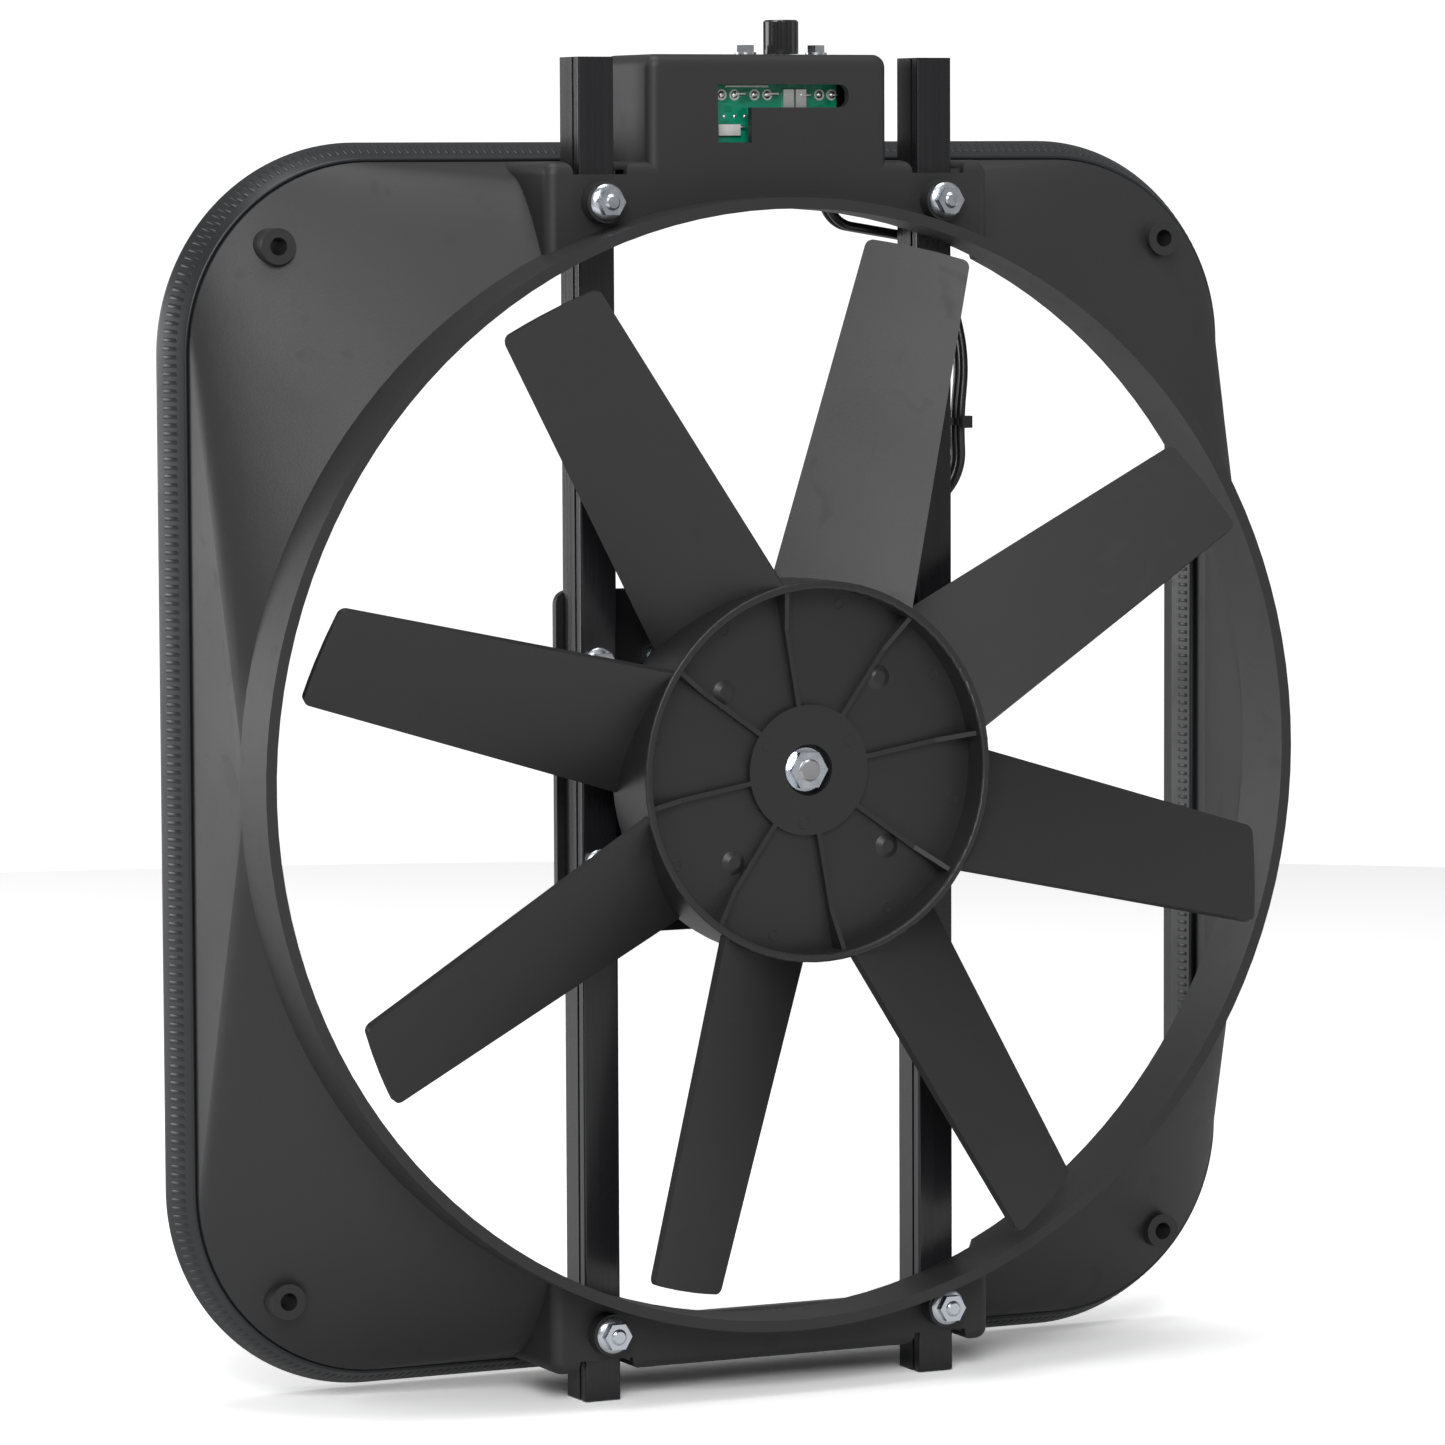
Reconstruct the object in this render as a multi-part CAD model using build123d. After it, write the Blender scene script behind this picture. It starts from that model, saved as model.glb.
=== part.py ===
from build123d import *
import os
from math import atan2, cos, degrees, hypot, pi, radians, sin, tan

# Electric cooling fan for a vehicle radiator, millimetres.
# Origin: on the rotor axis, in the plane of the rim's back edge, which the seal grips.
# -Y points at the engine side (fan front), +Y at the radiator, +Z up.

# ---- driving dimensions --------------------------------------------------
BLADE_CIRCLE_R = 190.5       # 15 inch blade circle
BLADE_COUNT = 8
TIP_GAP = 8.5                # from the blade tips to the ring
RING_WALL = 4.0
RING_INNER_R = BLADE_CIRCLE_R + TIP_GAP
RING_OUTER_R = RING_INNER_R + RING_WALL
RIM_HALF_W = RING_OUTER_R + 2.5      # outside of the shroud's rim
RIM_HALF_H = RIM_HALF_W + 10.5
RIM_CORNER_R = 68.0
SHELL_WALL = 3.0
RING_FRONT_Y = -77.8
RING_BASE_Y = -53.0          # where the round ring meets the sloped panels
RIM_Y = -15.0                # front plane of the rim
RIM_BACK_Y = 0.0             # back edge of the rim wall, which the edge seal grips
APEX_HALF_DEG = 4.0          # half of the short arc where a side panel meets the ring
SEAL_ROUNDS = [(1.0, -12.9, 0.9), (4.9, -0.6, 2.3), (-2.2, 10.0, 4.7),     # corners of the seal's
               (-4.9, 4.0, 2.7), (-4.3, -5.8, 1.3)]      # section: out from the rim, y, radius
SEAL_HOLLOW = (-1.3, 7.6, 4.0)

BOSS_HALF_X = RIM_HALF_W - 28.7      # four corner mounting bosses
BOSS_HALF_Z = RIM_HALF_H - 29.3
BOSS_R = 6.4
BOSS_HOLE_R = 3.2
BOSS_FACE_Y = -28.0
BOSS_BACK_Y = -1.0

RAIL_X = 66.9
RAIL_W = 13.8
RAIL_DEPTH = 16.0
RAIL_WALL = 1.7
RAIL_SLOT_W = 6.6
RAIL_LIP = 2.0
RAIL_TOP_Z = RIM_HALF_H + 36.8
RAIL_BOTTOM_Z = -RIM_HALF_H - 10.5
RAIL_GROOVE_FROM = 3.9       # side groove, measured from the rail's front face
RAIL_GROOVE_W = 1.5
RAIL_GROOVE_DEPTH = 0.8
RAIL_BOLT_Z = RIM_HALF_H - 14.4

BLOCK_HALF_W = RAIL_X + 20.6         # rail blocks at the top and bottom of the shroud
BLOCK_FRONT_Y = -58.0
BLOCK_EDGE_R = 4.5           # rounding of corners seen from the front
BLOCK_FRONT_R = 4.0          # rounding round the front face
BLOCK_ROOT_Z = RING_INNER_R - 59.0
BLOCK_TOP_Z = RIM_HALF_H
BLOCK_INNER_Z = BLOCK_TOP_Z - SHELL_WALL
PAD_R = 7.4                  # round pads under the rail nuts
PAD_HEIGHT = 6.0
NOTCH_W = RAIL_W + 6.9
NOTCH_DEPTH = 4.6
NOTCH_CORNER_R = 4.0

BOLT_R = 3.0                 # M6 hardware
BOLT_HEAD_AF = 10.0
BOLT_HEAD_H = 4.0
BOLT_CLEAR = 0.2
NUT_AF = 9.0
NUT_H = 5.0
NUT_FLANGE_R = 6.5
NUT_FLANGE_H = 1.2
BOLT_TAIL = 0.9

BOX_X0 = -48.0               # control box between the rails
BOX_X1 = 46.9
BOX_TOP_Z = RIM_HALF_H + 37.8
BOX_INNER_TOP_Z = BOX_TOP_Z - SHELL_WALL
BOX_BACK_Y = -20.0
WINDOW_X0 = BOX_X0 + 27.2
WINDOW_X1 = BOX_X1 - 15.9
WINDOW_TOP_Z = BOX_TOP_Z - 10.7
WINDOW_BAR_H = 8.2
WINDOW_LEG_W = 13.3
WINDOW_LEG_H = 20.6
WINDOW_END_R = 3.6
COVER_WALL = 2.0
COVER_GAP = 0.3
COVER_FLOOR_Z = RIM_HALF_H - 13.0
COVER_SCREW_Z = COVER_FLOOR_Z + 27.0
COVER_SCREW_INSET = 3.0

BOARD_X0 = WINDOW_X0 - 6.2
BOARD_X1 = WINDOW_X1 + 0.1
BOARD_Z0 = WINDOW_TOP_Z - 29.1
BOARD_Z1 = WINDOW_TOP_Z + 1.3
BOARD_THICK = 1.6
BOARD_FRONT_Y = -47.8
BOARD_BACK_Y = BOARD_FRONT_Y + BOARD_THICK
BOARD_POST_R = 2.6
BOARD_POST_INSET = 3.0
JOINT_ROW_X = (-14.6, -9.5, -1.6, 3.5, 24.2, 29.3)      # large solder joints
JOINT_ROW_Z = WINDOW_TOP_Z - 3.6
JOINT_TRIO_X = (-13.5, -9.45, -5.4)                     # small solder joints
JOINT_TRIO_Z = WINDOW_TOP_Z - 11.3
TERMINAL_X = (11.5, 16.4)
TERMINAL_W = 4.2
RELAY_X = (-14.0, 18.0)
RELAY_W = 19.0
RELAY_H = 15.5
RELAY_DEPTH = 14.5
RELAY_Z = BOARD_Z0 + 6.5
CAPACITOR_X = 2.3
CAPACITOR_Z = BOARD_Z0 + 8.5
CAPACITOR_R = 4.0
CAPACITOR_L = 11.0

KNOB_X = BOX_X1 - 33.2
KNOB_Y = -38.0
KNOB_R = 6.35
KNOB_TOP_Z = BOX_TOP_Z + 12.6
KNOB_HEIGHT = 12.2
KNOB_BOTTOM_Z = KNOB_TOP_Z - KNOB_HEIGHT
KNOB_FLUTES = 12
POT_PLATE_Z = BOX_INNER_TOP_Z - 2.0
POT_BODY_R = 7.4
POT_BODY_H = 8.0
POT_SHAFT_R = 3.0
POT_BUSH_R = 4.4
TOP_SCREW_OFFSET = 14.1

HUB_R = 67.9
HUB_WALL = 2.9
HUB_FRONT_Y = -96.5
HUB_BACK_Y = -68.0
WEB_FRONT_Y = -85.0
WEB_THICK = 3.0
DISK_R = 23.3
DISK_FACE_Y = -87.5
SEAT_R = 9.2
SEAT_Y = -83.0
HUB_BOSS_R = 13.0
HUB_BOSS_BACK_Y = -71.0
RIB_DEG = 9.8
RIB_STEP_R = 51.0
RIB_RIM_Y = -93.2
RIB_THICK = 1.7
BUMP_CIRCLE_R = 43.0
BUMP_DEG = 48.0
BUMP_R = 4.4
BUMP_HEIGHT = 1.2
BLADE_DEG = 30.7             # angle of the first blade's centre line
BLADE_THICK = 2.6
ROOT_HALF_DEG = 19.2
ROOT_FRONT_Y = -95.0
ROOT_BACK_Y = -69.6
TIP_HALF_DEG = 5.15
TIP_FRONT_Y = -89.9
TIP_BACK_Y = -73.6
TIP_CORNER_R = 3.0

SHAFT_R = 4.0
SHAFT_TIP_Y = -89.0
SHAFT_TAIL_Y = -7.6
FIT = 0.05                   # radial clearance of a bore on its shaft
RUN = 0.3                    # clearance between pieces that only pass each other
MOTOR_R = 50.0
MOTOR_WALL = 2.5
MOTOR_MOUTH_Y = -60.0
MOTOR_BACK_Y = -12.0
MOTOR_FLANGE_R = MOTOR_R + 10.0
MOTOR_FLANGE_THICK = 2.5
MOTOR_SCREW_CIRCLE_R = MOTOR_R + 5.2
MOTOR_SCREW_R = 2.5
MOTOR_SCREW_AF = 8.0
BELL_THICK = 3.0
BELL_BOSS_R = 14.0
BELL_BOSS_H = 6.0
FRONT_BEARING_R = 11.0
FRONT_BEARING_L = 7.0
REAR_BEARING_R = 8.0
REAR_BEARING_L = 5.0
REAR_BOSS_R = 11.0
REAR_BOSS_BACK_Y = -5.0
MAGNET_THICK = 5.8
MAGNET_HALF_DEG = 35.0
MAGNET_FRONT_Y = -53.0
MAGNET_BACK_Y = -27.0
AIR_GAP = 0.8
CORE_FRONT_Y = -52.0
CORE_BACK_Y = -28.0
CORE_SLOTS = 12
WINDING_OVERHANG = 5.0
COMMUTATOR_R = 12.5
COMMUTATOR_L = 6.6
BRUSH_W = 6.0
BRUSH_H = 4.6
BRUSH_L = 9.0
BRUSH_BOX_WALL = 0.9
THROUGH_BOLT_CIRCLE_R = MOTOR_R - 5.4
THROUGH_BOLT_R = 1.9
BRACKET_THICK = 3.0
BRACKET_HALF_W = RAIL_X + 9.7
BRACKET_HALF_H = MOTOR_R + 12.0
BRACKET_LIFT = 1.5           # middle of the bracket and its bolts above the axis
BRACKET_BOLT_Z = 36.0
BRACKET_CORNER_R = 5.0

LEAD_R = 1.7
LEAD_PITCH = 4.1
LEAD_END = (MOTOR_R - 0.9) * cos(pi / 4)      # the leads enter the motor can at 45 degrees
LEAD_ROUTE = [(33.0, -31.0, COVER_FLOOR_Z + 0.6), (39.0, -30.5, 193.0), (76.0, -30.0, 187.0),
              (82.5, -36.0, 167.0), (85.0, -42.0, 144.5), (80.6, -46.0, 121.0), (83.6, -42.0, 102.0),
              (75.0, -30.0, 86.0), (62.0, -25.5, 72.5), (48.5, -22.5, 56.0), (LEAD_END, -21.4, LEAD_END)]
LEAD_HOLE_R = 5.5
TIE_W = 2.6
TIE_WALL = 0.9
TIE_CLEAR = 0.6
GROMMET_WALL = 1.2
GROMMET_L = 5.0

# ---- worked-out sizes ----------------------------------------------------
RAIL_FRONT_Y = BLOCK_FRONT_Y + SHELL_WALL
RAIL_BACK_Y = RAIL_FRONT_Y + RAIL_DEPTH
BRACKET_BACK_Y = RAIL_BACK_Y + BRACKET_THICK
PAD_FACE_Y = BLOCK_FRONT_Y - PAD_HEIGHT
WEB_BACK_Y = WEB_FRONT_Y + WEB_THICK
MOTOR_BORE_R = MOTOR_R - MOTOR_WALL
MAGNET_INNER_R = MOTOR_BORE_R - MAGNET_THICK
CORE_R = MAGNET_INNER_R - AIR_GAP
BELL_FRONT_Y = MOTOR_MOUTH_Y - BELL_THICK
BELL_BOSS_Y = BELL_FRONT_Y - BELL_BOSS_H
MOTOR_INSIDE_Y = MOTOR_BACK_Y - MOTOR_WALL
COMMUTATOR_FRONT_Y = CORE_BACK_Y + WINDING_OVERHANG + 0.5
CARD_FRONT_Y = MOTOR_INSIDE_Y - 2.0
BRUSH_Y = CARD_FRONT_Y - BRUSH_BOX_WALL - BRUSH_H / 2
BOX_INNER_X0 = BOX_X0 + SHELL_WALL
BOX_INNER_X1 = BOX_X1 - SHELL_WALL


# ---- shape helpers -------------------------------------------------------
def rod(radius, y0, y1, x=0.0, z=0.0):
    """Round bar along Y from y0 to y1."""
    return Pos(x, (y0 + y1) / 2, z) * Rot(90, 0, 0) * Cylinder(radius, abs(y1 - y0))


def pipe(outer, inner, y0, y1, x=0.0, z=0.0):
    return rod(outer, y0, y1, x, z) - rod(inner, y0 - 1, y1 + 1, x, z)


def slab(x0, x1, y0, y1, z0, z1):
    return Pos((x0 + x1) / 2, (y0 + y1) / 2, (z0 + z1) / 2) * Box(x1 - x0, y1 - y0, z1 - z0)


def hexagon(across_flats, y0, y1, x=0.0, z=0.0):
    face = Plane.XZ.offset(-max(y0, y1)) * Pos(x, z) * RegularPolygon(across_flats / 3 ** 0.5, 6, rotation=30)
    return extrude(face, abs(y1 - y0))


def rim_prism(grow, y_front, y_back):
    """Rounded rectangle of the rim, grown by grow, from y_front to y_back."""
    width = 2 * (RIM_HALF_W + grow)
    height = 2 * (RIM_HALF_H + grow)
    face = Plane.XZ.offset(-y_back) * RectangleRounded(width, height, RIM_CORNER_R + grow)
    return extrude(face, y_back - y_front)


def on_circle(radius, angle_deg, y):
    return Vector(radius * cos(radians(angle_deg)), y, radius * sin(radians(angle_deg)))


def around(shape, count, start_deg=0.0):
    """Copies of a shape turned about the rotor axis."""
    return [Rot(0, -(start_deg + 360 * i / count), 0) * shape for i in range(count)]


def rim_wire(grow, y):
    """Eight-edge rim outline: four straight sides and four corner arcs."""
    radius = RIM_CORNER_R + grow
    cx = RIM_HALF_W - RIM_CORNER_R
    cz = RIM_HALF_H - RIM_CORNER_R
    edges = []
    for quarter, (sx, sz) in enumerate([(1, 1), (-1, 1), (-1, -1), (1, -1)]):
        centre = Vector(sx * cx, y, sz * cz)
        turn = 90 * quarter
        start, middle, end = [centre + on_circle(radius, turn + a, 0) for a in (0, 45, 90)]
        nx, nz = [(-1, 1), (-1, -1), (1, -1), (1, 1)][quarter]
        next_start = Vector(nx * cx, y, nz * cz) + on_circle(radius, turn + 90, 0)
        edges.append(ThreePointArc(start, middle, end))
        edges.append(Line(end, next_start))
    return Wire(edges)


def ring_wire(radius, y):
    """Eight-edge circle whose short arcs face the rim's straight sides."""
    edges = []
    for quarter in range(4):
        turn = 90 * quarter
        long_arc = [turn + APEX_HALF_DEG, turn + 45, turn + 90 - APEX_HALF_DEG]
        short_arc = [turn + 90 - APEX_HALF_DEG, turn + 90, turn + 90 + APEX_HALF_DEG]
        for arc in (long_arc, short_arc):
            edges.append(ThreePointArc(*[on_circle(radius, a, y) for a in arc]))
    return Wire(edges)


def transition(grow, rim_y, radius, ring_y):
    return Solid.make_loft([rim_wire(grow, rim_y), ring_wire(radius, ring_y)], ruled=True)


def bolt(x, z, head_y, head_h, af, shank_r, tip_y):
    """Hex bolt along Y whose head starts at head_y and points away from tip_y."""
    away = head_y + head_h if tip_y < head_y else head_y - head_h
    return hexagon(af, head_y, away, x, z) + rod(shank_r, head_y, tip_y, x, z)


def flange_nut(x, z, seat_y):
    """Hex flange nut seated on a face that looks towards -Y."""
    washer = rod(NUT_FLANGE_R, seat_y - NUT_FLANGE_H, seat_y, x, z)
    cone = Pos(x, seat_y - NUT_FLANGE_H - 0.6, z) * Rot(90, 0, 0) * Cone(NUT_FLANGE_R, NUT_AF / 2, 1.2)
    body = hexagon(NUT_AF, seat_y - NUT_H, seat_y - NUT_FLANGE_H, x, z)
    return washer + cone + body - rod(BOLT_R + FIT, seat_y - NUT_H - 1, seat_y + 1, x, z)


def rail_places(z_level, lift=0.0):
    return [(sx * RAIL_X, sz * z_level + lift) for sx in (-1, 1) for sz in (-1, 1)]


# ---- shroud --------------------------------------------------------------
def rail_notch(sign):
    """Cutter for the slot where a rail leaves a block, with flared mouth corners."""
    half = NOTCH_W / 2
    floor = BLOCK_TOP_Z - NOTCH_DEPTH
    shoulder = BLOCK_TOP_Z - NOTCH_CORNER_R
    mouth = half + NOTCH_CORNER_R
    bend = NOTCH_CORNER_R * cos(pi / 4)
    left_arc = ThreePointArc((-mouth, BLOCK_TOP_Z), (bend - mouth, shoulder + bend), (-half, shoulder))
    right_arc = mirror(left_arc, Plane.YZ)
    sides = Polyline((-half, shoulder), (-half, floor), (half, floor), (half, shoulder))
    high = BLOCK_TOP_Z + 9
    lid = Polyline((mouth, BLOCK_TOP_Z), (mouth, high), (-mouth, high), (-mouth, BLOCK_TOP_Z))
    face = Plane.XZ.offset(-(RAIL_BACK_Y + 2)) * make_face(left_arc + sides + right_arc + lid)
    cutter = extrude(face, RAIL_BACK_Y + 4 - BLOCK_FRONT_Y)
    return cutter if sign > 0 else mirror(cutter, Plane.XY)


def round_front(box):
    """Round a box's two upper corners, then all round its front face."""
    box = fillet(box.edges().filter_by(Axis.Y).group_by(Axis.Z)[-1], BLOCK_EDGE_R)
    front = box.faces().sort_by(Axis.Y)[0].edges()
    return fillet(front.sort_by(Axis.Z)[1:], BLOCK_FRONT_R)


def rail_block(sign):
    """Outside of one rail block, its front and end edges rounded."""
    block = slab(-BLOCK_HALF_W, BLOCK_HALF_W, BLOCK_FRONT_Y, RIM_Y, BLOCK_ROOT_Z, BLOCK_TOP_Z)
    block = round_front(block)
    return block if sign > 0 else mirror(block, Plane.XY)


def control_housing():
    """Outside of the control box that rises from the top block."""
    return round_front(slab(BOX_X0, BOX_X1, BLOCK_FRONT_Y, BOX_BACK_Y, BLOCK_ROOT_Z, BOX_TOP_Z))


def window_cutter():
    """L-shaped window in front of the circuit board, its bar's far end rounded."""
    y0, y1 = BLOCK_FRONT_Y - 1, RAIL_FRONT_Y + 1
    bar = slab(WINDOW_X0, WINDOW_X1, y0, y1, WINDOW_TOP_Z - WINDOW_BAR_H, WINDOW_TOP_Z)
    bar = fillet(bar.edges().filter_by(Axis.Y).group_by(Axis.X)[-1], WINDOW_END_R)
    leg = slab(WINDOW_X0, WINDOW_X0 + WINDOW_LEG_W, y0, y1, WINDOW_TOP_Z - WINDOW_LEG_H, WINDOW_TOP_Z)
    return bar + leg


def board_post_places():
    """Places of the posts behind the box front that hold the circuit board."""
    z = BOARD_Z0 + BOARD_POST_INSET
    return [(BOARD_X0 + BOARD_POST_INSET, z), (BOARD_X1 - BOARD_POST_INSET, z)]


def cover_ledges():
    """Two ledges inside the box that the rear cover is screwed to."""
    y1 = BOX_BACK_Y - COVER_WALL
    y0 = y1 - 8
    z0, z1 = COVER_SCREW_Z - 4, COVER_SCREW_Z + 4
    left = slab(BOX_INNER_X0 - 0.5, BOX_INNER_X0 + 6, y0, y1, z0, z1)
    right = slab(BOX_INNER_X1 - 6, BOX_INNER_X1 + 0.5, y0, y1, z0, z1)
    return [left, right]


def make_shroud():
    outer = transition(0, RIM_Y, RING_OUTER_R, RING_BASE_Y)
    outer += rod(RING_OUTER_R, RING_FRONT_Y, RING_BASE_Y)
    outer += rim_prism(0, RIM_Y, RIM_BACK_Y)
    for sign in (1, -1):
        outer += rail_block(sign)
    outer += control_housing()
    for x in (-BOSS_HALF_X, BOSS_HALF_X):
        for z in (-BOSS_HALF_Z, BOSS_HALF_Z):
            outer += rod(BOSS_R, BOSS_FACE_Y, RIM_Y, x, z)
    for x, z in rail_places(RAIL_BOLT_Z):
        outer += rod(PAD_R, PAD_FACE_Y, RAIL_FRONT_Y - 0.5, x, z)

    inner_ring_y = RING_BASE_Y + RING_WALL
    shell = outer - rod(RING_INNER_R, RING_FRONT_Y - 1, inner_ring_y)
    shell -= transition(-SHELL_WALL, RIM_Y + 1, RING_INNER_R, inner_ring_y)
    shell -= rim_prism(-SHELL_WALL, RIM_Y + 1, RIM_BACK_Y + 1)
    inner_half = BLOCK_HALF_W - SHELL_WALL
    for z0, z1 in ((BLOCK_ROOT_Z, BLOCK_INNER_Z), (-BLOCK_INNER_Z, -BLOCK_ROOT_Z)):
        shell -= slab(-inner_half, inner_half, RAIL_FRONT_Y, RIM_BACK_Y, z0, z1)
    shell -= slab(BOX_INNER_X0, BOX_INNER_X1, RAIL_FRONT_Y, BOX_BACK_Y, BLOCK_ROOT_Z, BOX_INNER_TOP_Z)
    for sign in (1, -1):
        for x in (-RAIL_X, RAIL_X):
            shell -= Pos(x, 0, 0) * rail_notch(sign)
    for x in (-BOSS_HALF_X, BOSS_HALF_X):
        for z in (-BOSS_HALF_Z, BOSS_HALF_Z):
            shell += rod(BOSS_R, BOSS_FACE_Y + 1, BOSS_BACK_Y, x, z)
            shell -= rod(BOSS_HOLE_R, BOSS_FACE_Y - 1, BOSS_BACK_Y + 1, x, z)
    for x, z in rail_places(RAIL_BOLT_Z):
        shell -= rod(BOLT_R + BOLT_CLEAR, PAD_FACE_Y - 1, RAIL_FRONT_Y + 1, x, z)
    shell -= window_cutter()
    for x, z in board_post_places():
        shell += rod(BOARD_POST_R, RAIL_FRONT_Y - 0.5, BOARD_FRONT_Y, x, z)
        shell -= rod(1.3, RAIL_FRONT_Y + 1, BOARD_FRONT_Y + 1, x, z)
    for ledge in cover_ledges():
        shell += ledge
    for x, z in cover_screw_places():
        shell -= rod(1.3, BOX_BACK_Y - COVER_WALL - 7, BOX_BACK_Y, x, z)
    shell -= Pos(KNOB_X, KNOB_Y, BOX_TOP_Z) * Cylinder(POT_BUSH_R + RUN, 3 * SHELL_WALL)
    for x in (KNOB_X - TOP_SCREW_OFFSET, KNOB_X + TOP_SCREW_OFFSET):
        shell -= Pos(x, KNOB_Y, BOX_TOP_Z) * Cylinder(1.9, 3 * SHELL_WALL)
    return shell


def make_edge_seal():
    """Edge trim: two legs that grip the rim wall and a hollow bulb behind it."""
    rounds = [edge for out, y, radius in SEAL_ROUNDS for edge in (Pos(out, -y) * Circle(radius)).edges()]
    section = make_hull(rounds)
    slot_front = RIM_Y - 2
    slot = Pos(-SHELL_WALL / 2, -(slot_front + RIM_BACK_Y) / 2)
    section -= slot * Rectangle(SHELL_WALL, RIM_BACK_Y - slot_front)
    out, y, radius = SEAL_HOLLOW
    section -= Pos(out, -y) * Circle(radius)
    start = Plane(origin=(0, 0, RIM_HALF_H), x_dir=(0, 0, 1), z_dir=(1, 0, 0))
    return sweep(start * section, path=rim_wire(0, 0))


# ---- rails and their hardware --------------------------------------------
def make_rail(x):
    """Slotted extrusion, open at the back, with a groove along each side."""
    z0, z1 = RAIL_BOTTOM_Z, RAIL_TOP_Z
    half = RAIL_W / 2
    rail = slab(x - half, x + half, RAIL_FRONT_Y, RAIL_BACK_Y, z0, z1)
    rail = fillet(rail.edges().filter_by(Axis.Z).group_by(Axis.Y)[0], 0.8)
    inside = half - RAIL_WALL
    rail -= slab(x - inside, x + inside, RAIL_FRONT_Y + RAIL_WALL, RAIL_BACK_Y - RAIL_LIP, z0 - 1, z1 + 1)
    slot = RAIL_SLOT_W / 2
    rail -= slab(x - slot, x + slot, RAIL_BACK_Y - 2 * RAIL_LIP, RAIL_BACK_Y + 1, z0 - 1, z1 + 1)
    groove_y = RAIL_FRONT_Y + RAIL_GROOVE_FROM
    for side in (-1, 1):
        edge = x + side * half
        x0, x1 = sorted((edge - side * RAIL_GROOVE_DEPTH, edge + side))
        rail -= slab(x0, x1, groove_y, groove_y + RAIL_GROOVE_W, z0 - 1, z1 + 1)
    for z in (RAIL_BOLT_Z, -RAIL_BOLT_Z, BRACKET_LIFT + BRACKET_BOLT_Z, BRACKET_LIFT - BRACKET_BOLT_Z):
        rail -= rod(BOLT_R + BOLT_CLEAR, RAIL_FRONT_Y - 1, RAIL_FRONT_Y + RAIL_WALL + 1, x, z)
    return rail


def make_rail_bolts():
    head_y = RAIL_FRONT_Y + RAIL_WALL
    tip_y = PAD_FACE_Y - NUT_H - BOLT_TAIL
    return [bolt(x, z, head_y, BOLT_HEAD_H, BOLT_HEAD_AF, BOLT_R, tip_y) for x, z in rail_places(RAIL_BOLT_Z)]


def make_rail_nuts():
    return [flange_nut(x, z, PAD_FACE_Y) for x, z in rail_places(RAIL_BOLT_Z)]


def make_motor_bracket():
    bottom, top = BRACKET_LIFT - BRACKET_HALF_H, BRACKET_LIFT + BRACKET_HALF_H
    plate = slab(-BRACKET_HALF_W, BRACKET_HALF_W, RAIL_BACK_Y, BRACKET_BACK_Y, bottom, top)
    plate = fillet(plate.edges().filter_by(Axis.Y), BRACKET_CORNER_R)
    plate -= rod(MOTOR_R + RUN, RAIL_BACK_Y - 1, BRACKET_BACK_Y + 1)
    for hole in motor_screw_places():
        plate -= rod(MOTOR_SCREW_R + BOLT_CLEAR, RAIL_BACK_Y - 1, BRACKET_BACK_Y + 1, *hole)
    for x, z in rail_places(BRACKET_BOLT_Z, BRACKET_LIFT):
        plate -= rod(BOLT_R + BOLT_CLEAR, RAIL_BACK_Y - 1, BRACKET_BACK_Y + 1, x, z)
    return plate


def make_bracket_bolts():
    tip_y = RAIL_FRONT_Y - NUT_H - BOLT_TAIL
    return [bolt(x, z, BRACKET_BACK_Y, BOLT_HEAD_H, BOLT_HEAD_AF, BOLT_R, tip_y)
            for x, z in rail_places(BRACKET_BOLT_Z, BRACKET_LIFT)]


def make_bracket_nuts():
    return [flange_nut(x, z, RAIL_FRONT_Y) for x, z in rail_places(BRACKET_BOLT_Z, BRACKET_LIFT)]


# ---- motor, fixed part ---------------------------------------------------
def motor_screw_places():
    spots = [on_circle(MOTOR_SCREW_CIRCLE_R, a, 0) for a in (45, 135, 225, 315)]
    return [(spot.X, spot.Z) for spot in spots]


def through_bolt_places():
    spots = [on_circle(THROUGH_BOLT_CIRCLE_R, a, 0) for a in (135, 315)]
    return [(spot.X, spot.Z) for spot in spots]


def lead_entry_hole():
    """Radial hole in the can where the motor leads go in."""
    x, y, z = LEAD_ROUTE[-1]
    angle = degrees(atan2(z, x))
    hole = Pos(MOTOR_R, 0, 0) * Rot(0, 90, 0) * Cylinder(LEAD_HOLE_R, 12)
    return Pos(0, y, 0) * Rot(0, -angle, 0) * hole


def make_motor_can():
    can = pipe(MOTOR_R, MOTOR_BORE_R, MOTOR_MOUTH_Y, MOTOR_INSIDE_Y)
    can += rod(MOTOR_R, MOTOR_INSIDE_Y, MOTOR_BACK_Y)
    can += rod(REAR_BOSS_R, MOTOR_BACK_Y - 0.5, REAR_BOSS_BACK_Y)
    can += pipe(MOTOR_FLANGE_R, MOTOR_R - 0.5, BRACKET_BACK_Y, BRACKET_BACK_Y + MOTOR_FLANGE_THICK)
    can -= rod(REAR_BEARING_R + FIT, MOTOR_INSIDE_Y - 1, MOTOR_INSIDE_Y + REAR_BEARING_L)
    can -= rod(SHAFT_R + 1, MOTOR_INSIDE_Y, SHAFT_TAIL_Y + 1)
    for x, z in motor_screw_places():
        can -= rod(MOTOR_SCREW_R + BOLT_CLEAR, BRACKET_BACK_Y - 1, BRACKET_BACK_Y + 4, x, z)
    for x, z in through_bolt_places():
        can -= rod(THROUGH_BOLT_R + BOLT_CLEAR, MOTOR_INSIDE_Y - 1, MOTOR_BACK_Y + 1, x, z)
    for x, z in rail_places(BRACKET_BOLT_Z, BRACKET_LIFT):
        can -= rod(BOLT_HEAD_AF * 0.6, BRACKET_BACK_Y - 1, BRACKET_BACK_Y + 5, x, z)
    return can - lead_entry_hole()


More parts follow.
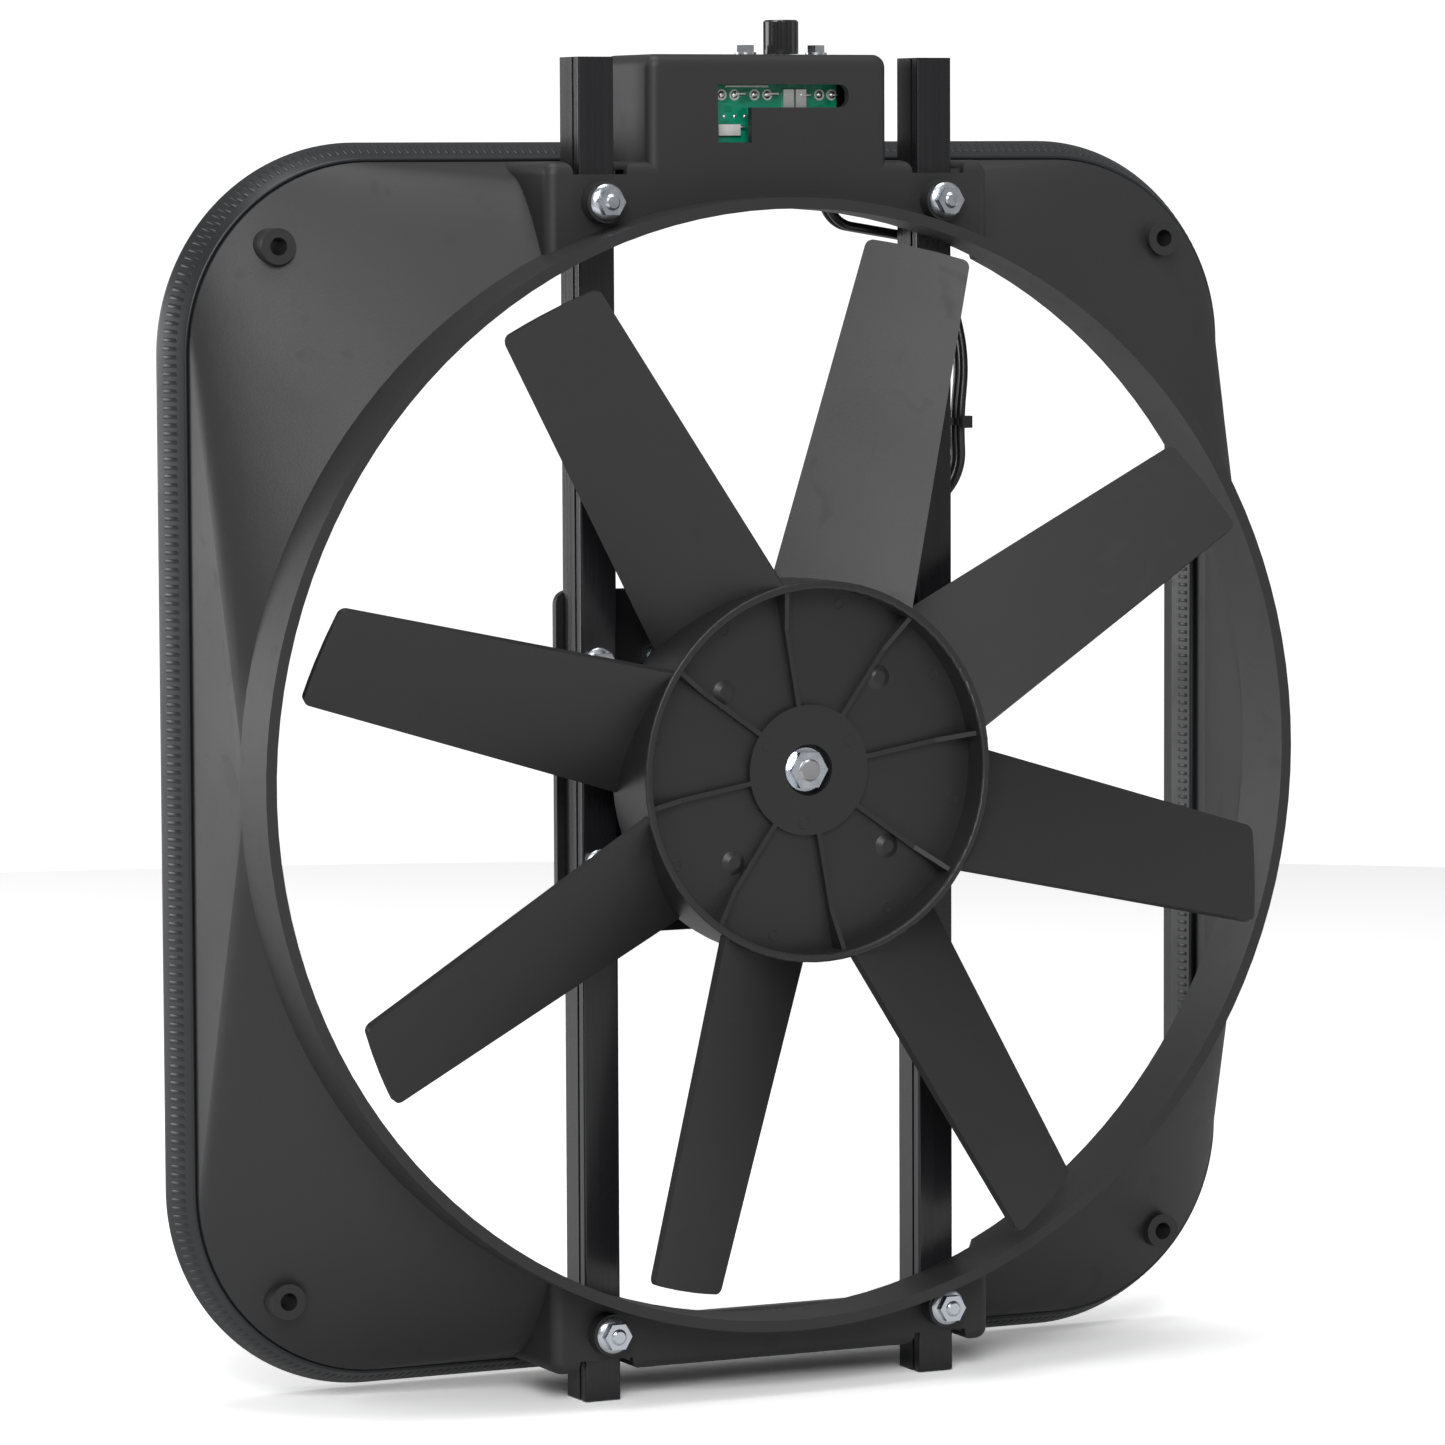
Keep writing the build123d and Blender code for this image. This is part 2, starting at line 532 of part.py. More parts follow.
def make_motor_end_bell():
    bell = rod(MOTOR_R, BELL_FRONT_Y, MOTOR_MOUTH_Y)
    bell += pipe(MOTOR_BORE_R - FIT, MOTOR_BORE_R - 3, MOTOR_MOUTH_Y - 0.5, MOTOR_MOUTH_Y + 2)
    bell += rod(BELL_BOSS_R, BELL_BOSS_Y, MOTOR_MOUTH_Y)
    pocket_y = MOTOR_MOUTH_Y - FRONT_BEARING_L
    bell -= rod(FRONT_BEARING_R + FIT, pocket_y, MOTOR_MOUTH_Y + 1)
    bell -= rod(SHAFT_R + 2, BELL_BOSS_Y - 1, pocket_y + 1)
    for x, z in through_bolt_places():
        bell -= rod(THROUGH_BOLT_R + BOLT_CLEAR, BELL_FRONT_Y - 1, MOTOR_MOUTH_Y + 3, x, z)
    return bell


def make_front_bearing():
    return pipe(FRONT_BEARING_R, SHAFT_R + FIT, MOTOR_MOUTH_Y - FRONT_BEARING_L, MOTOR_MOUTH_Y)


def make_rear_bearing():
    return pipe(REAR_BEARING_R, SHAFT_R + FIT, MOTOR_INSIDE_Y, MOTOR_INSIDE_Y + REAR_BEARING_L)


def wedge(half_deg, radius, y0, y1):
    """Pie slice about the rotor axis, centred on +X."""
    far = 2 * radius
    points = [(0, 0), (far, -far * tan(radians(half_deg))), (far, far * tan(radians(half_deg)))]
    face = Plane.XZ.offset(-y1) * make_face(Polyline(*points, close=True))
    return extrude(face, y1 - y0)


def make_magnets():
    ring = pipe(MOTOR_BORE_R, MAGNET_INNER_R, MAGNET_FRONT_Y, MAGNET_BACK_Y)
    magnet = ring & wedge(MAGNET_HALF_DEG, MOTOR_R, MAGNET_FRONT_Y, MAGNET_BACK_Y)
    return around(magnet, 4)


def make_motor_through_bolts():
    bolts = []
    for x, z in through_bolt_places():
        head = rod(3.6, BELL_FRONT_Y - 3, BELL_FRONT_Y, x, z)
        bolts.append(head + rod(THROUGH_BOLT_R, BELL_FRONT_Y - 1, MOTOR_BACK_Y + 4.4, x, z))
    return bolts


def make_motor_through_nuts():
    nuts = []
    for x, z in through_bolt_places():
        body = hexagon(7.0, MOTOR_BACK_Y, MOTOR_BACK_Y + 3.2, x, z)
        nuts.append(body - rod(THROUGH_BOLT_R + FIT, MOTOR_BACK_Y - 1, MOTOR_BACK_Y + 5, x, z))
    return nuts


def make_motor_screws():
    head_y = BRACKET_BACK_Y + MOTOR_FLANGE_THICK
    tip_y = RAIL_BACK_Y - 6
    return [bolt(x, z, head_y, 3.5, MOTOR_SCREW_AF, MOTOR_SCREW_R, tip_y) for x, z in motor_screw_places()]


def make_motor_screw_nuts():
    nuts = []
    for x, z in motor_screw_places():
        body = hexagon(MOTOR_SCREW_AF, RAIL_BACK_Y - 4, RAIL_BACK_Y, x, z)
        nuts.append(body - rod(MOTOR_SCREW_R + FIT, RAIL_BACK_Y - 5, RAIL_BACK_Y + 1, x, z))
    return nuts


def brush_box():
    """Guide for one brush, open towards the commutator, centred on +X."""
    x0 = COMMUTATOR_R + 1.5
    x1 = COMMUTATOR_R + BRUSH_L + 6
    half_w = BRUSH_W / 2 + BRUSH_BOX_WALL + 0.1
    half_h = BRUSH_H / 2 + BRUSH_BOX_WALL
    guide = slab(x0, x1, BRUSH_Y - half_h, CARD_FRONT_Y + 0.1, -half_w, half_w)
    hollow_w = BRUSH_W / 2 + 0.1
    hollow_h = BRUSH_H / 2 + 0.1
    return guide - slab(x0 - 1, x1 - 1, BRUSH_Y - hollow_h, BRUSH_Y + hollow_h, -hollow_w, hollow_w)


def make_brush_holder():
    card = pipe(MOTOR_BORE_R - 4.5, COMMUTATOR_R + 1.2, CARD_FRONT_Y, MOTOR_INSIDE_Y)
    for guide in around(brush_box(), 4):
        card += guide
    for x, z in through_bolt_places():
        card -= rod(THROUGH_BOLT_R + 1, CARD_FRONT_Y - 1, MOTOR_INSIDE_Y + 1, x, z)
    return card


def make_brushes():
    x0 = COMMUTATOR_R + 0.15
    brush = slab(x0, x0 + BRUSH_L, BRUSH_Y - BRUSH_H / 2, BRUSH_Y + BRUSH_H / 2, -BRUSH_W / 2, BRUSH_W / 2)
    return around(brush, 4)


def make_brush_springs():
    """Folded leaf springs that push the brushes inwards."""
    x0 = COMMUTATOR_R + 0.15 + BRUSH_L
    x1 = COMMUTATOR_R + BRUSH_L + 5
    x0, x1 = x0 + 0.3, x1 - 0.3
    step = (x1 - x0) / 3
    half = BRUSH_W / 2 - 0.6
    zigzag = Polyline((x0, -half), (x0 + step, half), (x0 + 2 * step, -half), (x1, half))
    face = Plane.XZ.offset(-(BRUSH_Y + 1.6)) * trace(zigzag, 0.4)
    return around(extrude(face, 3.2), 4)


# ---- rotor ---------------------------------------------------------------
def blade_section(distance, half_chord, front_y, back_y):
    """Thin rectangle across a blade at one distance from the axis, blade on +X."""
    length = hypot(2 * half_chord, back_y - front_y)
    tilt = atan2(back_y - front_y, 2 * half_chord)
    centre = Vector(distance, (front_y + back_y) / 2, 0)
    along = Vector(0, sin(tilt), cos(tilt))
    plane = Plane(origin=centre, x_dir=along, z_dir=(1, 0, 0))
    return plane * Rectangle(length, BLADE_THICK)


def make_blade():
    root_r = HUB_R * cos(radians(ROOT_HALF_DEG))
    root_half = HUB_R * sin(radians(ROOT_HALF_DEG))
    tip_r = BLADE_CIRCLE_R * cos(radians(TIP_HALF_DEG))
    tip_half = BLADE_CIRCLE_R * sin(radians(TIP_HALF_DEG))
    past = (BLADE_CIRCLE_R + 1 - root_r) / (tip_r - root_r)
    end_half = root_half + (tip_half - root_half) * past
    end_front = ROOT_FRONT_Y + (TIP_FRONT_Y - ROOT_FRONT_Y) * past
    end_back = ROOT_BACK_Y + (TIP_BACK_Y - ROOT_BACK_Y) * past
    root = blade_section(root_r, root_half, ROOT_FRONT_Y, ROOT_BACK_Y)
    end = blade_section(BLADE_CIRCLE_R + 1, end_half, end_front, end_back)
    blade = loft([root.face(), end.face()], ruled=True)
    blade = blade & rod(BLADE_CIRCLE_R, HUB_FRONT_Y - 5, HUB_BACK_Y + 5)
    blade -= rod(HUB_R - HUB_WALL / 2, HUB_FRONT_Y - 5, HUB_BACK_Y + 5)
    outer = blade.edges().filter_by_position(Axis.X, 0.9 * BLADE_CIRCLE_R, 1.1 * BLADE_CIRCLE_R)
    corners = outer.filter_by(lambda edge: edge.length < 1.5 * BLADE_THICK)
    return fillet(corners, TIP_CORNER_R)


def hub_rib(points):
    """Thin radial rib on +X from (radius, y) points."""
    face = Plane.XY.offset(-RIB_THICK / 2) * make_face(Polyline(*points, close=True))
    return extrude(face, RIB_THICK)


def make_fan():
    inner_r = HUB_R - HUB_WALL
    hub = pipe(HUB_R, inner_r, HUB_FRONT_Y, HUB_BACK_Y)
    hub = fillet(hub.edges().sort_by(Axis.Y)[:2], 0.9)
    hub += rod(inner_r + 0.5, WEB_FRONT_Y, WEB_BACK_Y)
    hub += rod(DISK_R, DISK_FACE_Y, WEB_BACK_Y)
    hub += rod(HUB_BOSS_R, WEB_FRONT_Y, HUB_BOSS_BACK_Y)
    rib_end = inner_r + 0.5
    in_web = WEB_FRONT_Y + 1
    front_rib = hub_rib([(DISK_R - 1, in_web), (DISK_R - 1, DISK_FACE_Y), (RIB_STEP_R, DISK_FACE_Y - 0.3),
                         (rib_end, RIB_RIM_Y), (rib_end, in_web)])
    in_web = WEB_BACK_Y - 1
    back_rib = hub_rib([(HUB_BOSS_R - 1, in_web), (HUB_BOSS_R - 1, HUB_BOSS_BACK_Y - 3),
                        (rib_end, WEB_BACK_Y + 4), (rib_end, in_web)])
    for rib in around(front_rib, BLADE_COUNT, RIB_DEG) + around(back_rib, BLADE_COUNT, RIB_DEG):
        hub += rib
    bump = Rot(90, 0, 0) * Cone(BUMP_R, BUMP_R / 2, BUMP_HEIGHT)
    bump = Pos(BUMP_CIRCLE_R, WEB_FRONT_Y - BUMP_HEIGHT / 2, 0) * bump
    for copy in around(bump, 4, BUMP_DEG):
        hub += copy
    for copy in around(make_blade(), BLADE_COUNT, BLADE_DEG):
        hub += copy
    hub -= rod(SEAT_R, DISK_FACE_Y - 1, SEAT_Y)
    hub -= rod(SHAFT_R + FIT, SEAT_Y - 1, HUB_BOSS_BACK_Y + 1)
    return hub - slab(-9.3, 9.3, HUB_BOSS_BACK_Y - 3.2, HUB_BOSS_BACK_Y + 1, -1.7, 1.7)


def make_drive_pin():
    return Pos(0, HUB_BOSS_BACK_Y - 1.6, 0) * Rot(0, 90, 0) * Cylinder(1.5, 18)


def make_motor_shaft():
    shaft = rod(SHAFT_R, SHAFT_TIP_Y, SHAFT_TAIL_Y)
    shaft = chamfer(shaft.edges().filter_by(GeomType.CIRCLE), 0.6)
    return shaft - Pos(0, HUB_BOSS_BACK_Y - 1.6, 0) * Rot(0, 90, 0) * Cylinder(1.5 + FIT, 20)


def make_hub_washer():
    return pipe(8.1, SHAFT_R + 0.2, SEAT_Y - 1.5, SEAT_Y)


def make_hub_nut():
    top = SEAT_Y - 1.5
    nut = hexagon(12.6, top - 3.6, top) & (Pos(0, top - 1.8, 0) * Rot(-90, 0, 0) * Cone(8.4, 6.5, 3.6))
    return nut - rod(SHAFT_R + FIT, top - 5, top + 1)


def make_armature_core():
    core = pipe(CORE_R, SHAFT_R + FIT, CORE_FRONT_Y, CORE_BACK_Y)
    slot = slab(CORE_R - 17, CORE_R - 3, CORE_FRONT_Y - 1, CORE_BACK_Y + 1, -2.6, 2.6)
    mouth = slab(CORE_R - 4, CORE_R + 1, CORE_FRONT_Y - 1, CORE_BACK_Y + 1, -1.0, 1.0)
    for cut in around(slot + mouth, CORE_SLOTS, 360 / CORE_SLOTS / 2):
        core -= cut
    return core


def make_armature_windings():
    """Copper coils: a bar in each slot and an end turn at each face of the core."""
    turn = fillet(pipe(CORE_R - 3.5, 15.0, CORE_FRONT_Y - WINDING_OVERHANG, CORE_FRONT_Y - 0.2).edges(), 1.6)
    coils = turn + Pos(0, CORE_BACK_Y - CORE_FRONT_Y + WINDING_OVERHANG + 0.2, 0) * turn
    bar = slab(CORE_R - 16.7, CORE_R - 4.2, CORE_FRONT_Y - 2, CORE_BACK_Y + 2, -2.3, 2.3)
    for copy in around(bar, CORE_SLOTS, 360 / CORE_SLOTS / 2):
        coils += copy
    return coils


def make_commutator():
    back_y = COMMUTATOR_FRONT_Y + COMMUTATOR_L
    drum = pipe(COMMUTATOR_R, SHAFT_R + FIT, COMMUTATOR_FRONT_Y, back_y)
    gap = slab(COMMUTATOR_R - 0.9, COMMUTATOR_R + 1, COMMUTATOR_FRONT_Y - 1, back_y + 1, -0.3, 0.3)
    for cut in around(gap, CORE_SLOTS):
        drum -= cut
    return drum


# ---- control box ---------------------------------------------------------
def make_control_board():
    board = slab(BOARD_X0, BOARD_X1, BOARD_FRONT_Y, BOARD_BACK_Y, BOARD_Z0, BOARD_Z1)
    for x, z in board_post_places():
        board -= rod(1.6, BOARD_FRONT_Y - 1, BOARD_BACK_Y + 1, x, z)
    return board


def make_board_screws():
    screws = []
    for x, z in board_post_places():
        shank = rod(1.25, BOARD_FRONT_Y - 4, BOARD_BACK_Y + 1, x, z)
        screws.append(shank + rod(2.6, BOARD_BACK_Y, BOARD_BACK_Y + 1.8, x, z))
    return screws


def solder_places():
    """(x, z, radius) of every solder joint."""
    return [(x, JOINT_ROW_Z, 1.7) for x in JOINT_ROW_X] + [(x, JOINT_TRIO_Z, 0.9) for x in JOINT_TRIO_X]


def make_solder_joints():
    """Solder domes on the board's front side."""
    joints = []
    for x, z, radius in solder_places():
        dome = Pos(x, BOARD_FRONT_Y + radius / 2, z) * Sphere(radius)
        joints.append(dome - slab(x - 3, x + 3, BOARD_FRONT_Y, BOARD_FRONT_Y + 9, z - 3, z + 3))
    return joints


def make_blade_terminals():
    """Two tinned tabs that come through the board in front."""
    y0, half = BOARD_FRONT_Y - 1.2, TERMINAL_W / 2
    z0, z1 = JOINT_ROW_Z - 5.4, JOINT_ROW_Z + 1.9
    return [slab(x - half, x + half, y0, BOARD_FRONT_Y, z0, z1) for x in TERMINAL_X]


def make_relays():
    relays = []
    half, back_y = RELAY_W / 2, BOARD_BACK_Y + RELAY_DEPTH
    for x in RELAY_X:
        body = slab(x - half, x + half, BOARD_BACK_Y, back_y, RELAY_Z, RELAY_Z + RELAY_H)
        relays.append(fillet(body.edges().filter_by(Axis.Y), 1.0))
    return relays


def make_capacitor():
    can = rod(CAPACITOR_R, BOARD_BACK_Y, BOARD_BACK_Y + CAPACITOR_L, CAPACITOR_X, CAPACITOR_Z)
    return fillet(can.edges().sort_by(Axis.Y)[-1:], 0.7)


def make_control_cover():
    """Rear cover and floor of the control box in one moulding."""
    x0 = BOX_INNER_X0 + COVER_GAP
    x1 = BOX_INNER_X1 - COVER_GAP
    back = slab(x0, x1, BOX_BACK_Y - COVER_WALL, BOX_BACK_Y, COVER_FLOOR_Z, BOX_INNER_TOP_Z - COVER_GAP)
    floor = slab(x0, x1, RAIL_FRONT_Y + COVER_GAP, BOX_BACK_Y, COVER_FLOOR_Z, COVER_FLOOR_Z + COVER_WALL)
    cover = back + floor
    for x, z in cover_screw_places():
        cover -= rod(1.8, BOX_BACK_Y - 5, BOX_BACK_Y + 1, x, z)
    lx, ly, _ = LEAD_ROUTE[0]
    return cover - Pos(lx, ly, COVER_FLOOR_Z) * Cylinder(LEAD_HOLE_R, 8)


def cover_screw_places():
    left, right = BOX_INNER_X0 + COVER_SCREW_INSET, BOX_INNER_X1 - COVER_SCREW_INSET
    return [(left, COVER_SCREW_Z), (right, COVER_SCREW_Z)]


def make_cover_screws():
    screws = []
    for x, z in cover_screw_places():
        shank = rod(1.25, BOX_BACK_Y - COVER_WALL - 6, BOX_BACK_Y + 1, x, z)
        screws.append(shank + rod(3.2, BOX_BACK_Y, BOX_BACK_Y + 2.0, x, z))
    return screws


def lead_grommet():
    """Rubber grommet without its groove, standing on the XY plane at its middle."""
    collar = Cylinder(LEAD_HOLE_R + GROMMET_WALL, GROMMET_L)
    return collar - Cylinder(LEAD_HOLE_R - GROMMET_WALL, GROMMET_L + 2)


def grommet_neck(length):
    return Cylinder(LEAD_HOLE_R - 0.1, length) - Cylinder(LEAD_HOLE_R - GROMMET_WALL, length + 2)


def make_box_grommet():
    lx, ly, _ = LEAD_ROUTE[0]
    grommet = lead_grommet() - Cylinder(2 * LEAD_HOLE_R, COVER_WALL + 0.1) + grommet_neck(COVER_WALL + 1)
    return Pos(lx, ly, COVER_FLOOR_Z + COVER_WALL / 2) * grommet


def make_top_screws():
    screws = []
    for x in (KNOB_X - TOP_SCREW_OFFSET, KNOB_X + TOP_SCREW_OFFSET):
        washer = Pos(x, KNOB_Y, BOX_TOP_Z + 0.5) * Cylinder(3.9, 1.0)
        head = Pos(x, KNOB_Y, BOX_TOP_Z + 1.0) * extrude(RegularPolygon(3.4, 6), 2.6)
        shank = Pos(x, KNOB_Y, BOX_TOP_Z - 3.5) * Cylinder(1.6, 8.0)
        screws.append(washer + head + shank)
    return screws


def make_pot_bracket():
    half = TOP_SCREW_OFFSET + 4
    plate = slab(KNOB_X - half, KNOB_X + half, KNOB_Y - 6, KNOB_Y + 6, POT_PLATE_Z, BOX_INNER_TOP_Z)
    plate -= Pos(KNOB_X, KNOB_Y, POT_PLATE_Z) * Cylinder(POT_BUSH_R + 0.1, 9)
    for x in (KNOB_X - TOP_SCREW_OFFSET, KNOB_X + TOP_SCREW_OFFSET):
        plate -= Pos(x, KNOB_Y, POT_PLATE_Z) * Cylinder(1.6 + FIT, 9)
    return plate


def make_potentiometer():
    bottom = POT_PLATE_Z - POT_BODY_H
    body = Pos(KNOB_X, KNOB_Y, POT_PLATE_Z - POT_BODY_H / 2) * Cylinder(POT_BODY_R, POT_BODY_H)
    body += slab(KNOB_X - 5, KNOB_X + 5, KNOB_Y - 2, KNOB_Y + 8, bottom + 1, bottom + 2.6)
    bush_z0, bush_z1 = POT_PLATE_Z - 1, KNOB_BOTTOM_Z - 1
    body += Pos(KNOB_X, KNOB_Y, (bush_z0 + bush_z1) / 2) * Cylinder(POT_BUSH_R, bush_z1 - bush_z0)
    return body - Pos(KNOB_X, KNOB_Y, bottom + 2 + 20) * Cylinder(POT_SHAFT_R + FIT, 40)


def make_pot_shaft():
    bottom = POT_PLATE_Z - POT_BODY_H + 2.2
    top = KNOB_TOP_Z - 3.0
    shaft = Pos(KNOB_X, KNOB_Y, (bottom + top) / 2) * Cylinder(POT_SHAFT_R, top - bottom)
    return chamfer(shaft.edges().filter_by(GeomType.CIRCLE).sort_by(Axis.Z)[-1:], 0.4)


def make_control_knob():
    knob = Pos(0, 0, KNOB_HEIGHT / 2) * Cylinder(KNOB_R, KNOB_HEIGHT)
    knob = chamfer(knob.edges().filter_by(GeomType.CIRCLE).sort_by(Axis.Z)[-1:], 0.7)
    flute = Pos(KNOB_R + 0.35, 0, KNOB_HEIGHT / 2 + 1.6) * Cylinder(0.85, KNOB_HEIGHT)
    for i in range(KNOB_FLUTES):
        knob -= Rot(0, 0, 360 * i / KNOB_FLUTES) * flute
    depth = KNOB_HEIGHT - 3
    knob -= Pos(0, 0, depth / 2 - 1) * Cylinder(POT_SHAFT_R + FIT, depth + 2)
    return Pos(KNOB_X, KNOB_Y, KNOB_BOTTOM_Z) * knob


# ---- motor leads ---------------------------------------------------------
def lead_path(shift):
    """Straight runs joined by tangent arcs, each arc as large as its runs allow."""
    points = [Vector(x, y, z) + shift for x, y, z in LEAD_ROUTE]
    radii = []
    for before, at, after in zip(points, points[1:], points[2:]):
        run_in, run_out = at - before, after - at
        half_turn = radians(run_in.get_angle(run_out)) / 2
        radii.append(0.45 * min(run_in.length, run_out.length) / tan(half_turn))
    print("lead radii", [round(r, 1) for r in radii])
    return FilletPolyline(*points, radius=radii)


def make_motor_leads():
    leads = []
    for side in (-0.5, 0.5):
        path = lead_path(Vector(0, side * LEAD_PITCH, 0))
        start = Plane(origin=path @ 0, z_dir=path % 0)
        lead = sweep(start * Circle(LEAD_R), path=path)
        print("lead volume over section times length", lead.volume / (pi * LEAD_R ** 2 * path.length))
        leads.append(lead)
    return leads


def bend_middle(index):
    """Middle of the arc that rounds one corner of the lead route."""
    before, at, after = [Vector(*point) for point in LEAD_ROUTE[index - 1:index + 2]]
    half_turn = radians((at - before).get_angle(after - at)) / 2
    radius = 0.45 * min((at - before).length, (after - at).length) / tan(half_turn)
    inwards = ((before - at).normalized() + (after - at).normalized()).normalized()
    return at + inwards * (radius / cos(half_turn) - radius)


def make_lead_tie():
    """Cable tie round both leads at the middle of their bow."""
    middle = bend_middle(5)
    x, y, z = middle.X, middle.Y, middle.Z
    half_long = LEAD_PITCH / 2 + LEAD_R + TIE_CLEAR
    half_short = LEAD_R + TIE_CLEAR
    outer = Pos(x, y, z) * Box(2 * (half_short + TIE_WALL), 2 * (half_long + TIE_WALL), TIE_W)
    outer = fillet(outer.edges().filter_by(Axis.Z), 2.2)
    inner = Pos(x, y, z) * Box(2 * half_short, 2 * half_long, TIE_W + 2)
    inner = fillet(inner.edges().filter_by(Axis.Z), 1.0)
    head = Pos(x, y - half_long - TIE_WALL - 1.2, z) * Box(4.0, 3.0, 4.4)
    return outer + head - inner


def make_motor_grommet():
    x, y, z = LEAD_ROUTE[-1]
    angle = degrees(atan2(z, x))
    at_wall = Pos(MOTOR_R - MOTOR_WALL / 2, 0, 0) * Rot(0, 90, 0)
    can_wall = pipe(MOTOR_R + FIT, MOTOR_BORE_R - FIT, -20, 20)
    grommet = at_wall * lead_grommet() - can_wall + at_wall * grommet_neck(MOTOR_WALL + 1)
    return Pos(0, y, 0) * Rot(0, -angle, 0) * grommet


# ---- write every piece ---------------------------------------------------
PIECES = {
    "shroud": make_shroud,
    "edge_seal": make_edge_seal,
    "rail_left": lambda: make_rail(-RAIL_X),
    "rail_right": lambda: make_rail(RAIL_X),
    "rail_bolts": make_rail_bolts,
    "rail_nuts": make_rail_nuts,
    "motor_bracket": make_motor_bracket,
    "bracket_bolts": make_bracket_bolts,
    "bracket_nuts": make_bracket_nuts,
    "motor_screws": make_motor_screws,
    "motor_screw_nuts": make_motor_screw_nuts,
    "motor_can": make_motor_can,
    "motor_end_bell": make_motor_end_bell,
    "motor_through_bolts": make_motor_through_bolts,
    "motor_through_nuts": make_motor_through_nuts,
    "front_bearing": make_front_bearing,
    "rear_bearing": make_rear_bearing,
    "magnets": make_magnets,
    "brush_holder": make_brush_holder,
    "brushes": make_brushes,
    "brush_springs": make_brush_springs,
    "motor_shaft": make_motor_shaft,
    "armature_core": make_armature_core,
    "armature_windings": make_armature_windings,
    "commutator": make_commutator,
    "fan": make_fan,
    "drive_pin": make_drive_pin,
    "hub_washer": make_hub_washer,
    "hub_nut": make_hub_nut,
    "control_board": make_control_board,
    "board_screws": make_board_screws,
    "solder_joints": make_solder_joints,
    "board_terminals": make_blade_terminals,
    "relays": make_relays,
    "capacitor": make_capacitor,
    "control_cover": make_control_cover,
    "cover_screws": make_cover_screws,
    "box_grommet": make_box_grommet,
    "top_screws": make_top_screws,
    "pot_bracket": make_pot_bracket,
    "potentiometer": make_potentiometer,
    "pot_shaft": make_pot_shaft,
    "control_knob": make_control_knob,
    "motor_leads": make_motor_leads,
    "lead_tie": make_lead_tie,
    "motor_grommet": make_motor_grommet,
}


def main():
    os.makedirs("parts", exist_ok=True)
    for name, make in PIECES.items():
        piece = make()
        solids = piece if isinstance(piece, list) else [piece]
        children = [solid for group in solids for solid in group.solids()]
        export_step(Compound(children=children), f"parts/{name}.step")
        print(name, len(children))


main()
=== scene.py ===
import math
import bmesh
import bpy
from mathutils import Matrix, Vector


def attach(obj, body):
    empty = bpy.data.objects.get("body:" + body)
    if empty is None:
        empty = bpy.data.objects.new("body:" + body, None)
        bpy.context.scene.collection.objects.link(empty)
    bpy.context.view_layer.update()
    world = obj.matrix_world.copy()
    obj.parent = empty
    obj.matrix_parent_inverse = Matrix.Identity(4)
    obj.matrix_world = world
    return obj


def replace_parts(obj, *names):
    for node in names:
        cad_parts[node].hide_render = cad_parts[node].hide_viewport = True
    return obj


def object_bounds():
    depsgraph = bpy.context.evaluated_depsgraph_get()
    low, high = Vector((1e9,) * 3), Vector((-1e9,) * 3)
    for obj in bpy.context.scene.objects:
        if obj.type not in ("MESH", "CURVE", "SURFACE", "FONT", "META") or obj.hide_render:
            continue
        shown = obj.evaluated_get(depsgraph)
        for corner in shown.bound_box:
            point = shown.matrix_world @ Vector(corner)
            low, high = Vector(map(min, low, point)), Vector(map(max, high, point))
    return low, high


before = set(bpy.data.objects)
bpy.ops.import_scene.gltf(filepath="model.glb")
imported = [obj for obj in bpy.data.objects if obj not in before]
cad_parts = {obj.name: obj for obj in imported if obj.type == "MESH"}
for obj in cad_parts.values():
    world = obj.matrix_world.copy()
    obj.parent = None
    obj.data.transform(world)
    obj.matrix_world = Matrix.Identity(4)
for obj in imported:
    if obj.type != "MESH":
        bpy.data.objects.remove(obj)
cad_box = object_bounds()
MM = 0.001

# ---- Shroud --------------------------------------------------------------
# One black glass-filled nylon moulding: the round air ring, four sloped corner
# panels, the rim flange, corner bosses, rail blocks and the control housing.
# It leaves the mould with a fine spark-eroded grain and slightly shinier flow areas.
NYLON = (0.018, 0.018, 0.019, 1)
NYLON_LIGHT = (0.030, 0.030, 0.031, 1)


def new_group(name, inputs, outputs):
    group = bpy.data.node_groups.new(name, "ShaderNodeTree")
    for label, value in inputs.items():
        socket = group.interface.new_socket(name=label, in_out="INPUT", socket_type="NodeSocketFloat")
        socket.default_value = value
    for label in outputs:
        group.interface.new_socket(name=label, in_out="OUTPUT", socket_type="NodeSocketFloat")
    tree = group.nodes
    return group, tree.new("NodeGroupInput"), tree.new("NodeGroupOutput")


